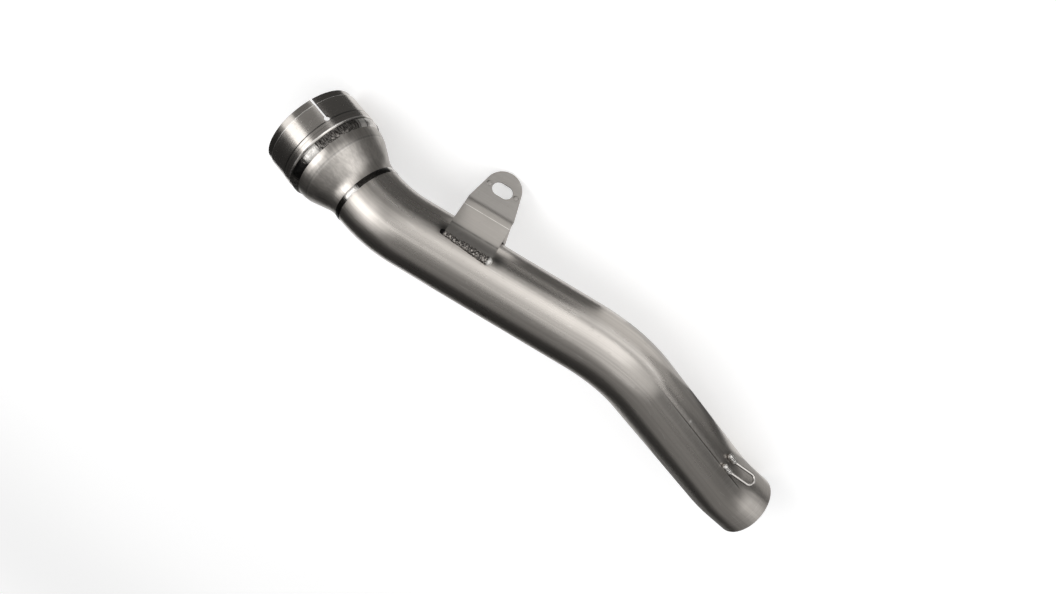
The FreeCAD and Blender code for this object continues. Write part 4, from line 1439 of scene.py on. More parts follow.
class Board:
    """A node tree with short ways to add nodes and join them.

    Where a method takes an object as a value, it may be a number, a colour or a socket.
    """

    def __init__(self, tree: bpy.types.NodeTree) -> None:
        """Take the tree that the nodes go into."""
        self.tree = tree

    def add(self, kind: str) -> bpy.types.Node:
        """Add a node of a kind."""
        return self.tree.nodes.new(kind)

    def feed(self, socket: bpy.types.NodeSocket, value: object) -> None:
        """Join an input to a socket, or set its value.

        Args:
            socket: the input.
            value: what it takes.
        """
        if isinstance(value, bpy.types.NodeSocket):
            self.tree.links.new(value, socket)
        else:
            socket.default_value = value

    def math(self, operation: str, first: object, second: object = 0.0, clamp: bool = False) -> Socket:
        """Calculate with a math node.

        Args:
            operation: what it does.
            first: the first value.
            second: the second value.
            clamp: whether the result stays between 0 and 1.

        Returns:
            The result.
        """
        node = self.add("ShaderNodeMath")
        node.operation = operation
        node.use_clamp = clamp
        self.feed(node.inputs[0], first)
        self.feed(node.inputs[1], second)
        return node.outputs[0]

    def times(self, first: object, second: object) -> Socket:
        """Return the product of two values."""
        return self.math("MULTIPLY", first, second)

    def plus(self, first: object, second: object) -> Socket:
        """Return the sum of two values."""
        return self.math("ADD", first, second)

    def minus(self, first: object, second: object) -> Socket:
        """Return the first value less the second."""
        return self.math("SUBTRACT", first, second)

    def apart(self, first: object, second: object) -> Socket:
        """Return how far two values lie from each other."""
        return self.math("ABSOLUTE", self.minus(first, second))

    def swing(self, value: object, amount: object) -> Socket:
        """Return how far a value lies above 0.5, times an amount."""
        return self.times(self.minus(value, 0.5), amount)

    def vector_math(self, operation: str, first: object, second: object) -> Socket:
        """Calculate with two vectors.

        Args:
            operation: what the node does, part by part.
            first: the first vector.
            second: the second vector.

        Returns:
            The resulting vector.
        """
        node = self.add("ShaderNodeVectorMath")
        node.operation = operation
        self.feed(node.inputs[0], first)
        self.feed(node.inputs[1], second)
        return node.outputs[0]

    def scaled(self, vector: object, scale: object) -> Socket:
        """Return a vector multiplied part by part."""
        return self.vector_math("MULTIPLY", vector, scale)

    def noise(
            self,
            vector: object,
            scale: float,
            detail: float,
            rough: float = 0.5,
            output: str = "Fac") -> Socket:
        """Add a noise texture.

        Args:
            vector: where it is read.
            scale: how fine it is.
            detail: how many finer layers it has.
            rough: how strong these are.
            output: the output that is wanted.

        Returns:
            That output.
        """
        node = self.add("ShaderNodeTexNoise")
        for name, value in (("Vector", vector), ("Scale", scale), ("Detail", detail), ("Roughness", rough)):
            self.feed(node.inputs[name], value)
        return node.outputs[output]

    def ranged(
            self,
            value: object,
            low: object,
            high: object,
            bottom: object = 0.0,
            top: object = 1.0,
            smooth: bool = True) -> Socket:
        """Move a value from one range to another, clamped at both ends.

        Args:
            value: the value.
            low: where its range starts.
            high: where its range ends.
            bottom: the result at the start.
            top: the result at the end.
            smooth: whether it eases in and out.

        Returns:
            The result.
        """
        node = self.add("ShaderNodeMapRange")
        node.interpolation_type = "SMOOTHSTEP" if smooth else "LINEAR"
        for number, item in enumerate((value, low, high, bottom, top)):
            self.feed(node.inputs[number], item)
        return node.outputs["Result"]

    def falling(self, value: object, low: object, high: object) -> Socket:
        """Return 1 below a range, 0 above it and a smooth fall between."""
        return self.ranged(value, low, high, 1.0, 0.0)

    def mixed(self, share: object, first: object, second: object, blend: str = "MIX") -> Socket:
        """Mix two colours.

        Args:
            share: how much of the second one there is.
            first: the first colour.
            second: the second colour.
            blend: how they are mixed.

        Returns:
            The mix.
        """
        node = self.add("ShaderNodeMix")
        node.data_type = "RGBA"
        node.blend_type = blend
        for number, item in ((0, share), (6, first), (7, second)):
            self.feed(node.inputs[number], item)
        return node.outputs[2]

    def over(self, colour: object, mask: object, strength: float, paint: object) -> Socket:
        """Return a colour with another one laid over it where a mask is."""
        return self.mixed(self.times(mask, strength), colour, paint)

    def split(self, vector: object) -> tuple[Socket, ...]:
        """Return the three parts of a vector."""
        node = self.add("ShaderNodeSeparateXYZ")
        self.feed(node.inputs[0], vector)
        return tuple(node.outputs)

    def clock_and_station(self, skin: object) -> tuple[Socket, Socket]:
        """Return the clock angle and the station of a place on the skin."""
        across, upward, station = self.split(skin)
        return self.math("ARCTAN2", upward, across), station

    def attribute(self, name: str, output: str) -> Socket:
        """Return a surface value that a mesh carries."""
        node = self.add("ShaderNodeAttribute")
        node.attribute_name = name
        return node.outputs[output]

    def bump(self, height: object, distance: float, strength: float = 1.0, normal: object = None) -> Socket:
        """Turn a height into a normal.

        Args:
            height: the height, from 0 to 1.
            distance: how high 1 stands, in metres.
            strength: how much of it shows.
            normal: the normal that it is laid on.

        Returns:
            The normal.
        """
        node = self.add("ShaderNodeBump")
        node.inputs["Distance"].default_value = distance
        node.inputs["Strength"].default_value = strength
        self.feed(node.inputs["Height"], height)
        if normal is not None:
            self.feed(node.inputs["Normal"], normal)
        return node.outputs["Normal"]


VALUE = "NodeSocketFloat"
PLACE = "NodeSocketVector"
COLOUR = "NodeSocketColor"
EVEN = (1.0, 1.0, 1.0)


class Effect:
    """A surface effect that several finishes share: a node group with named sockets."""

    def __init__(
            self,
            name: str,
            inputs: Sequence[tuple[str, str, object]],
            outputs: Sequence[tuple[str, str]]) -> None:
        """Make the group's sockets.

        Args:
            name: the group's name.
            inputs: name, socket type and default value of each input after the skin's.
            outputs: name and socket type of each output.
        """
        self.tree = bpy.data.node_groups.new(name, "ShaderNodeTree")
        self.tree.interface.new_socket("Skin", in_out="INPUT", socket_type=PLACE)
        for label, kind, value in inputs:
            self.tree.interface.new_socket(label, in_out="INPUT", socket_type=kind).default_value = value
        for label, kind in outputs:
            self.tree.interface.new_socket(label, in_out="OUTPUT", socket_type=kind)
        self.board = Board(self.tree)
        self.inside = self.board.add("NodeGroupInput").outputs
        self.skin = self.inside["Skin"]
        self.result = self.board.add("NodeGroupOutput").inputs

    def give(self, **values: Socket) -> None:
        """Join the group's outputs, by name, to the values inside it."""
        for name, value in values.items():
            self.board.feed(self.result[name], value)

    def place(self, board: Board, **values: object) -> bpy.types.NodeOutputs:
        """Put the effect into a material.

        Args:
            board: the material's board.
            values: input values or sockets, by name with underscores for spaces.

        Returns:
            The effect's outputs there.
        """
        node = board.add("ShaderNodeGroup")
        node.node_tree = self.tree
        for name, value in values.items():
            board.feed(node.inputs[name.replace("_", " ")], value)
        return node.outputs


def grain_effect() -> Effect:
    """Make the stretched lines left by brushing, turning or rolling.

    Returns:
        The effect.
    """
    effect = Effect(
        "WorkedGrain", [("Stretch", PLACE, EVEN)], [("Height", VALUE), ("Streaks", VALUE), ("Bands", VALUE)])
    board = effect.board
    place = board.scaled(effect.skin, effect.inside["Stretch"])
    threads = board.noise(board.scaled(place, (0.62, 0.62, 0.45)), 1.0, 2.0, 0.7)
    bands = board.noise(board.scaled(place, (0.16, 0.16, 0.25)), 1.0, 2.0, 0.55)
    effect.give(
        Height=board.noise(place, 1.0, 3.0, 0.6),
        Streaks=board.ranged(threads, 0.30, 0.70),
        Bands=board.ranged(bands, 0.3, 0.7))
    return effect


def scratch_effect() -> Effect:
    """Make sparse thin scratches that wander across the grain.

    Returns:
        The effect.
    """
    effect = Effect("FineScratches", [("Stretch", PLACE, EVEN), ("Amount", VALUE, 0.5)], [("Mask", VALUE)])
    board = effect.board
    wander = board.scaled(board.noise(effect.skin, 28.0, 1.0, output="Color"), (0.012, 0.012, 0.012))
    place = board.scaled(board.vector_math("ADD", effect.skin, wander), effect.inside["Stretch"])
    thin = board.falling(board.apart(board.noise(place, 1.0, 1.0, 0.4), 0.5), 0.0, 0.012)
    sparse = board.ranged(board.noise(effect.skin, 75.0, 2.0, 0.6), 0.52, 0.66)
    effect.give(Mask=board.times(board.times(thin, sparse), effect.inside["Amount"]))
    return effect


def smudge_effect() -> Effect:
    """Make soft handling marks: broad clouds and small spots.

    Returns:
        The effect.
    """
    effect = Effect("HandlingMarks", [], [("Clouds", VALUE), ("Spots", VALUE)])
    board = effect.board
    effect.give(
        Clouds=board.ranged(board.noise(effect.skin, 22.0, 4.0, 0.6), 0.34, 0.68),
        Spots=board.ranged(board.noise(effect.skin, 260.0, 3.0, 0.6), 0.62, 0.74))
    return effect


def heat_effect() -> Effect:
    """Make the tint that welding leaves beside a bead, from the distance to it.

    Returns:
        The effect.
    """
    effect = Effect(
        "WeldHeat", [("Distance", VALUE, 1.0), ("Reach", VALUE, 0.01)], [("Tint", COLOUR), ("Mask", VALUE)])
    board = effect.board
    share = board.math("DIVIDE", effect.inside["Distance"], effect.inside["Reach"])
    share = board.plus(share, board.swing(board.noise(effect.skin, 120.0, 3.0, 0.6), 0.35))
    ramp = board.add("ShaderNodeValToRGB")
    stops = ramp.color_ramp.elements
    stops[0].color = (0.16, 0.15, 0.15, 1.0)
    stops[1].color = (0.80, 0.74, 0.66, 1.0)
    for position, colour in (
            (0.16, (0.34, 0.31, 0.30, 1.0)),
            (0.34, (0.42, 0.42, 0.46, 1.0)),
            (0.55, (0.52, 0.47, 0.43, 1.0))):
        stops.new(position).color = colour
    board.feed(ramp.inputs["Fac"], share)
    effect.give(Tint=ramp.outputs["Color"], Mask=board.falling(share, 0.25, 1.0))
    return effect


def crust_effect() -> Effect:
    """Make the crust of a weld bead: dark scale, glinting grains and a rough height.

    Returns:
        The effect.
    """
    effect = Effect(
        "BeadCrust", [("Stretch", PLACE, EVEN)], [("Scale", VALUE), ("Glints", VALUE), ("Height", VALUE)])
    board = effect.board
    place = board.scaled(effect.skin, effect.inside["Stretch"])
    scale = board.noise(place, 900.0, 4.0, 0.62)
    glints = board.noise(place, 1500.0, 2.0, 0.6)
    effect.give(
        Scale=board.ranged(scale, 0.34, 0.58),
        Glints=board.ranged(glints, 0.58, 0.68),
        Height=board.plus(board.times(scale, 0.7), board.times(glints, 0.3)))
    return effect


def seam_effect() -> Effect:
    """Make the tube's lengthwise weld seam, the strip beside it that was ground crosswise, a painted
    highlight on the seam's lip and painted shade on its other side.

    Returns:
        The effect.
    """
    effect = Effect(
        "LongSeam",
        [("Clock", VALUE, 0.0), ("Radius", VALUE, 0.027), ("Start", VALUE, 0.0), ("End", VALUE, 1.0)],
        [("Line", VALUE), ("Lip", VALUE), ("Shade", VALUE), ("Ground", VALUE)])
    board = effect.board
    start = effect.inside["Start"]
    last = effect.inside["End"]
    clock, station = board.clock_and_station(effect.skin)
    gap = board.times(board.minus(clock, effect.inside["Clock"]), effect.inside["Radius"])
    there = board.times(
        board.ranged(station, start, board.plus(start, 0.06)),
        board.falling(station, board.minus(last, 0.012), last))
    line = board.falling(board.math("ABSOLUTE", gap), 0.00015, 0.00065)
    lip = board.falling(board.apart(gap, 0.0010), 0.0001, 0.0007)
    shade = board.times(board.ranged(gap, -0.016, -0.0002), board.falling(gap, -0.0002, 0.0003))
    strip = board.times(board.ranged(gap, 0.0004, 0.0015), board.falling(gap, 0.005, 0.011))
    ticks = board.noise(board.scaled(effect.skin, (90.0, 90.0, 1100.0)), 1.0, 2.0, 0.6)
    ground = board.times(board.ranged(ticks, 0.42, 0.66), strip)
    effect.give(
        Line=board.times(line, there), Lip=board.times(lip, there),
        Shade=board.times(shade, there), Ground=board.times(ground, there))
    return effect


def mark_effect() -> Effect:
    """Make a line of painted light, lighter or darker, at one place along a surface, uneven along its
    length.

    Returns:
        The effect.
    """
    effect = Effect(
        "LightAndShadeLine",
        [("Along", VALUE, 0.0), ("Place", VALUE, 0.0), ("Half Width", VALUE, 0.0003),
         ("Softness", VALUE, 0.5)],
        [("Mask", VALUE)])
    board = effect.board
    half = effect.inside["Half Width"]
    core = board.times(half, board.minus(1.0, effect.inside["Softness"]))
    line = board.falling(board.apart(effect.inside["Along"], effect.inside["Place"]), core, half)
    uneven_strength = board.ranged(board.noise(effect.skin, 160.0, 3.0, 0.6), 0.30, 0.55, 0.55, 1.0)
    effect.give(Mask=board.times(line, uneven_strength))
    return effect


def window_effect() -> Effect:
    """Make a stretch of clock with feathered ends, where painted highlight and painted shade are laid.

    Returns:
        The effect.
    """
    effect = Effect(
        "PaintedLightWindow",
        [("Clock", VALUE, 0.0), ("Half Turn", VALUE, 0.2), ("Feather", VALUE, 0.06)],
        [("Mask", VALUE)])
    board = effect.board
    clock, station = board.clock_and_station(effect.skin)
    turn = board.add("ShaderNodeCombineXYZ")
    board.feed(turn.inputs[0], board.times(clock, 34.0))
    board.feed(turn.inputs[1], board.times(station, 90.0))
    gap = board.apart(clock, effect.inside["Clock"])
    gap = board.plus(gap, board.swing(board.noise(turn.outputs[0], 1.0, 3.0, 0.6), 0.28))
    half = effect.inside["Half Turn"]
    feather = effect.inside["Feather"]
    effect.give(Mask=board.falling(gap, board.minus(half, feather), board.plus(half, feather)))
    return effect


def spot_effect() -> Effect:
    """Make a soft round spot of tone at one place of the pipe.

    Returns:
        The effect.
    """
    effect = Effect(
        "SkinSpot",
        [("Clock", VALUE, 0.0), ("Station", VALUE, 0.0), ("Width", VALUE, 0.002), ("Radius", VALUE, 0.027)],
        [("Mask", VALUE)])
    board = effect.board
    clock, station = board.clock_and_station(effect.skin)
    turn = board.times(board.minus(clock, effect.inside["Clock"]), effect.inside["Radius"])
    along = board.minus(station, effect.inside["Station"])
    away = board.math("SQRT", board.plus(board.times(turn, turn), board.times(along, along)))
    away = board.plus(away, board.swing(board.noise(effect.skin, 180.0, 2.0), 0.003))
    effect.give(Mask=board.falling(away, 0.0, effect.inside["Width"]))
    return effect


class Effects:
    """All the shared effects, built once."""

    def __init__(self) -> None:
        """Build the groups."""
        self.grain = grain_effect()
        self.scratches = scratch_effect()
        self.smudges = smudge_effect()
        self.heat = heat_effect()
        self.crust = crust_effect()
        self.seam = seam_effect()
        self.mark = mark_effect()
        self.window = window_effect()
        self.spot = spot_effect()


class Surface(Board):
    """The board of a new material, with its Principled shader."""

    def __init__(self, name: str) -> None:
        """Make the material.

        Args:
            name: its name.
        """
        self.material = bpy.data.materials.new(name)
        self.material.use_nodes = True
        super().__init__(self.material.node_tree)
        self.shader = self.tree.nodes["Principled BSDF"]

    def finish(self, **values: object) -> bpy.types.Material:
        """Join the shader's inputs.

        Args:
            values: input values or sockets, by name with underscores for spaces.

        Returns:
            The material.
        """
        for name, value in values.items():
            self.feed(self.shader.inputs[name.replace("_", " ")], value)
        return self.material


class Metal(Surface):
    """The board of a metal, with the skin's place and the shared effects at hand."""

    def __init__(self, name: str, effects: Effects) -> None:
        """Make the material.

        Args:
            name: its name.
            effects: the shared effects.
        """
        super().__init__(name)
        self.feed(self.shader.inputs["Metallic"], 1.0)
        self.effects = effects
        self.skin = self.attribute("skin", "Vector")
        self.parts = self.split(self.skin)


class Grain(Enum):
    """Which way the lines of a surface run, as scales of the skin's three ways."""

    LENGTHWISE = (850.0, 850.0, 7.0)
    ROUND = (22.0, 22.0, 1900.0)
    ROLLED = (30.0, 1500.0, 1500.0)
    DRAWN = (2600.0, 2600.0, 60.0)


class Way(Enum):
    """Which part of the skin a mark is measured along."""

    SHEET_HEIGHT = 1
    STATION = 2


Colour = tuple[float, float, float]

SCRATCH_TONE = (0.78, 0.76, 0.73, 1.0)
HANDLED_TONE = (0.20, 0.19, 0.18, 1.0)
# light grey of the ground ticks, and of the painted highlight on the seam's lip
GROUND_AND_HIGHLIGHT_TONE = (0.82, 0.79, 0.75, 1.0)
STRIP_TONE = (0.80, 0.78, 0.74, 1.0)
SEAM_SHADE_TONE = (0.16, 0.15, 0.14, 1.0)
SEAM_TONE = (0.06, 0.057, 0.053, 1.0)
GLINT_TONE = (0.85, 0.82, 0.78, 1.0)


def warm_grey(level: float) -> tuple[float, float, float, float]:
    """Return a little warm grey, for lines and bead ends of painted highlight and painted shade."""
    return (level, level * 0.98, level * 0.95, 1.0)


def warmer_grey(level: float) -> tuple[float, float, float, float]:
    """Return a warmer grey, for painted light on ring beads and for round spots on the pipe."""
    return (level, level * 0.97, level * 0.93, 1.0)


@dataclass(frozen=True)
class LightAndShadeLine:
    """A line at one place along a surface, lighter or darker: painted highlight and painted shade along an
    edge, a step or a bend.
    """

    way: Way
    place: float
    half_width: float
    tone: float
    strength: float
    softness: float = 0.5
    polish: float = 0.0

    def mask(self, metal: Metal) -> Socket:
        """Return where the line shows on a metal."""
        return metal.effects.mark.place(
            metal, Skin=metal.skin, Along=metal.parts[self.way.value], Place=self.place * MM,
            Half_Width=self.half_width * MM, Softness=self.softness)["Mask"]


@dataclass(frozen=True)
class ToneStep:
    """A soft change of tone along a surface: painted light and painted shade over bends, a wire's underside
    and a bead's ends, and the collar's lighter sleeve past its lip.
    """

    way: Way
    start: float
    end: float
    factor: float

    def share(self, metal: Metal, bottom: float = 0.0, top: float = 1.0) -> Socket:
        """Return a value on a metal that goes over the step from one level to another."""
        return metal.ranged(metal.parts[self.way.value], self.start * MM, self.end * MM, bottom, top)


@dataclass(frozen=True)
class PaintedLightPatch:
    """A stretch of the pipe's skin where painted light is laid: its colour is made lighter as a painted
    highlight, or darker as painted shade where the gain is below 0, and its roughness rises by the blur as
    where it was rubbed.
    """

    clock: float
    half_turn: float
    start: float
    end: float
    gain: float
    blur: float = 0.0
    feather: float = 0.20
    core: float = 0.3

    def mask(self, metal: Metal) -> Socket:
        """Find where the stretch shows.

        Args:
            metal: the metal that it is on.

        Returns:
            Its mask.
        """
        window = metal.effects.window.place(
            metal, Skin=metal.skin, Clock=radians(self.clock),
            Half_Turn=radians(self.half_turn), Feather=self.feather)["Mask"]
        half = (self.end - self.start) / 2.0 * MM
        away = metal.apart(metal.parts[Way.STATION.value], (self.start + self.end) / 2.0 * MM)
        return metal.times(window, metal.falling(away, half * self.core, half))


@dataclass(frozen=True)
class SkinSpot:
    """A soft round spot of tone on the pipe, lighter or darker."""

    clock: float
    station: float
    width: float
    tone: float
    strength: float

    def mask(self, metal: Metal) -> Socket:
        """Return where the spot shows on a metal."""
        return metal.effects.spot.place(
            metal, Skin=metal.skin, Clock=radians(self.clock), Station=self.station * MM,
            Width=self.width * MM)["Mask"]


@dataclass(frozen=True)
class PaintedBeadLight:
    """A stretch of clock on a ring bead with painted light: a painted highlight where its tone is light,
    painted shade where it is dark.
    """

    clock: float
    half_turn: float
    tone: float

    def mask(self, metal: Metal) -> Socket:
        """Return where the stretch shows on a metal."""
        return metal.effects.window.place(
            metal, Skin=metal.skin, Clock=radians(self.clock),
            Half_Turn=radians(self.half_turn))["Mask"]


@dataclass(frozen=True)
class SteelFinish:
    """Worked metal with grain, scratches, handling marks and heat from welding, and with painted highlights
    and painted shade in lines, steps, spots and clock windows.
    """

    name: str
    colour: Colour
    grain: Grain
    roughness: float
    roughness_swing: float
    grain_depth: float
    streaks: float = 0.10
    bands: float = 0.10
    scratches: float = 0.5
    marks: float = 0.08
    spots: float = 0.12
    heat_reach: float = 0.012
    heat: float = 0.5
    seam_clock: Optional[float] = None
    seam_start: float = 0.0
    seam_end: float = 1000.0
    # lines of painted highlight and painted shade
    lines: tuple[LightAndShadeLine, ...] = ()
    steps: tuple[ToneStep, ...] = ()
    # painted highlight and painted shade at chosen clock angles and stations
    painted_light_patches: tuple[PaintedLightPatch, ...] = ()
    ground_end: Optional[float] = None
    ground_length: float = 30.0
    skin_spots: tuple[SkinSpot, ...] = ()

    def make(self, effects: Effects) -> bpy.types.Material:
        """Make the material.

        Args:
            effects: the shared effects.

        Returns:
            The material.
        """
        metal = Metal(self.name, effects)
        skin = metal.skin
        grain = effects.grain.place(metal, Skin=skin, Stretch=self.grain.value)
        smudges = effects.smudges.place(metal, Skin=skin)
        across, _, along = self.grain.value
        scratches = effects.scratches.place(
            metal, Skin=skin, Stretch=(across * 0.10, across * 0.10, along * 0.10),
            Amount=self.scratches)["Mask"]

        level = 1.0
        for value, amount in (
                (grain["Streaks"], self.streaks),
                (grain["Bands"], self.bands),
                (smudges["Clouds"], -self.marks)):
            level = metal.plus(metal.swing(value, amount), level)
        # steps of tone, mostly painted highlight and painted shade
        for step in self.steps:
            level = metal.times(level, step.share(metal, 1.0, step.factor))
        blur = 0.0
        # painted light: the colour made lighter or darker at one clock angle, with roughness raised
        for light_patch in self.painted_light_patches:
            there = light_patch.mask(metal)
            level = metal.times(level, metal.ranged(there, 0.0, 1.0, 1.0, 1.0 + light_patch.gain))
            blur = metal.plus(blur, metal.times(there, light_patch.blur))

        grey = metal.add("ShaderNodeCombineColor")
        for channel, value in zip(grey.inputs[:3], self.colour):
            metal.feed(channel, metal.times(level, value))
        colour = metal.over(grey.outputs[0], scratches, 0.4, SCRATCH_TONE)
        colour = metal.over(colour, smudges["Spots"], self.spots, HANDLED_TONE)
        if self.heat > 0.0:
            distance = metal.attribute("weld_distance", "Fac")
            heat = effects.heat.place(metal, Skin=skin, Distance=distance, Reach=self.heat_reach)
            tinted = metal.mixed(1.0, colour, heat["Tint"], "MULTIPLY")
            colour = metal.over(colour, heat["Mask"], self.heat, tinted)

        rough = metal.swing(grain["Bands"], self.roughness_swing)
        rough = metal.plus(rough, metal.swing(smudges["Clouds"], self.roughness_swing))
        rough = metal.plus(metal.plus(rough, self.roughness), blur)
        rough = metal.plus(rough, metal.times(smudges["Spots"], 0.10))
        normal = metal.bump(grain["Height"], self.grain_depth)
        normal = metal.bump(scratches, self.grain_depth, 0.5, normal)

        if self.ground_end is not None:
            ground = effects.grain.place(metal, Skin=skin, Stretch=Grain.ROUND.value)
            begin = (self.ground_end - self.ground_length) * MM
            near = metal.ranged(metal.parts[Way.STATION.value], begin, self.ground_end * MM)
            ticks = metal.math("MULTIPLY", metal.swing(ground["Streaks"], near), 0.45, clamp=True)
            colour = metal.mixed(ticks, colour, GROUND_AND_HIGHLIGHT_TONE)
            rough = metal.plus(rough, metal.times(near, 0.05))
        # lines of painted highlight and painted shade along edges, steps and bends
        for line in self.lines:
            mask = line.mask(metal)
            colour = metal.over(colour, mask, line.strength, warm_grey(line.tone))
            rough = metal.plus(rough, metal.times(mask, line.polish))
        # round spots of tone, some of them heat tint with painted shade
        for spot in self.skin_spots:
            colour = metal.over(colour, spot.mask(metal), spot.strength, warmer_grey(spot.tone))
        if self.seam_clock is not None:
            seam = effects.seam.place(
                metal, Skin=skin, Clock=radians(self.seam_clock), Start=self.seam_start * MM,
                End=self.seam_end * MM)
            # the seam line, the painted highlight on its lip, painted shade beside it and the ground strip
            for output, strength, tone in (
                    ("Shade", 0.22, SEAM_SHADE_TONE),
                    ("Line", 0.80, SEAM_TONE),
                    ("Lip", 0.30, GROUND_AND_HIGHLIGHT_TONE),
                    ("Ground", 0.22, STRIP_TONE)):
                colour = metal.over(colour, seam[output], strength, tone)
        return metal.finish(Base_Color=colour, Roughness=rough, Normal=normal)


@dataclass(frozen=True)
class BeadFinish:
    """Weld bead with dark scale over its ripples and glinting grains."""

    name: str
    colour: Colour
    scale_colour: Colour
    scale: float
    roughness: float
    depth: float
    glints: float = 0.6
    crust_blur: float = 0.18
    # painted highlight and painted shade at chosen clock angles of the bead
    painted_light_stretches: tuple[PaintedBeadLight, ...] = ()
    stretch: tuple[float, float, float] = (1.0, 1.0, 1.0)
    steps: tuple[ToneStep, ...] = ()

    def make(self, effects: Effects) -> bpy.types.Material:
        """Make the material.

        Args:
            effects: the shared effects.

        Returns:
            The material.
        """
        metal = Metal(self.name, effects)
        crust = effects.crust.place(metal, Skin=metal.skin, Stretch=self.stretch)
        colour = metal.over((*self.colour, 1.0), crust["Scale"], self.scale, (*self.scale_colour, 1.0))
        colour = metal.over(colour, crust["Glints"], self.glints, GLINT_TONE)
        # painted highlight and painted dark reflection at a bead's ends
        for step in self.steps:
            colour = metal.mixed(step.share(metal), colour, warm_grey(step.factor))
        smooth = 0.0
        # painted light on the bead: lighter or darker colour at one clock angle, with lower roughness
        for lit_stretch in self.painted_light_stretches:
            window = lit_stretch.mask(metal)
            colour = metal.mixed(window, colour, warmer_grey(lit_stretch.tone))
            smooth = metal.plus(smooth, window)
        rough = metal.ranged(crust["Scale"], 0.0, 1.0, self.roughness, self.roughness + self.crust_blur)
        rough = metal.times(rough, metal.ranged(smooth, 0.0, 1.0, 1.0, 0.8))
        normal = metal.bump(crust["Height"], self.depth)
        return metal.finish(Base_Color=colour, Roughness=rough, Normal=normal)


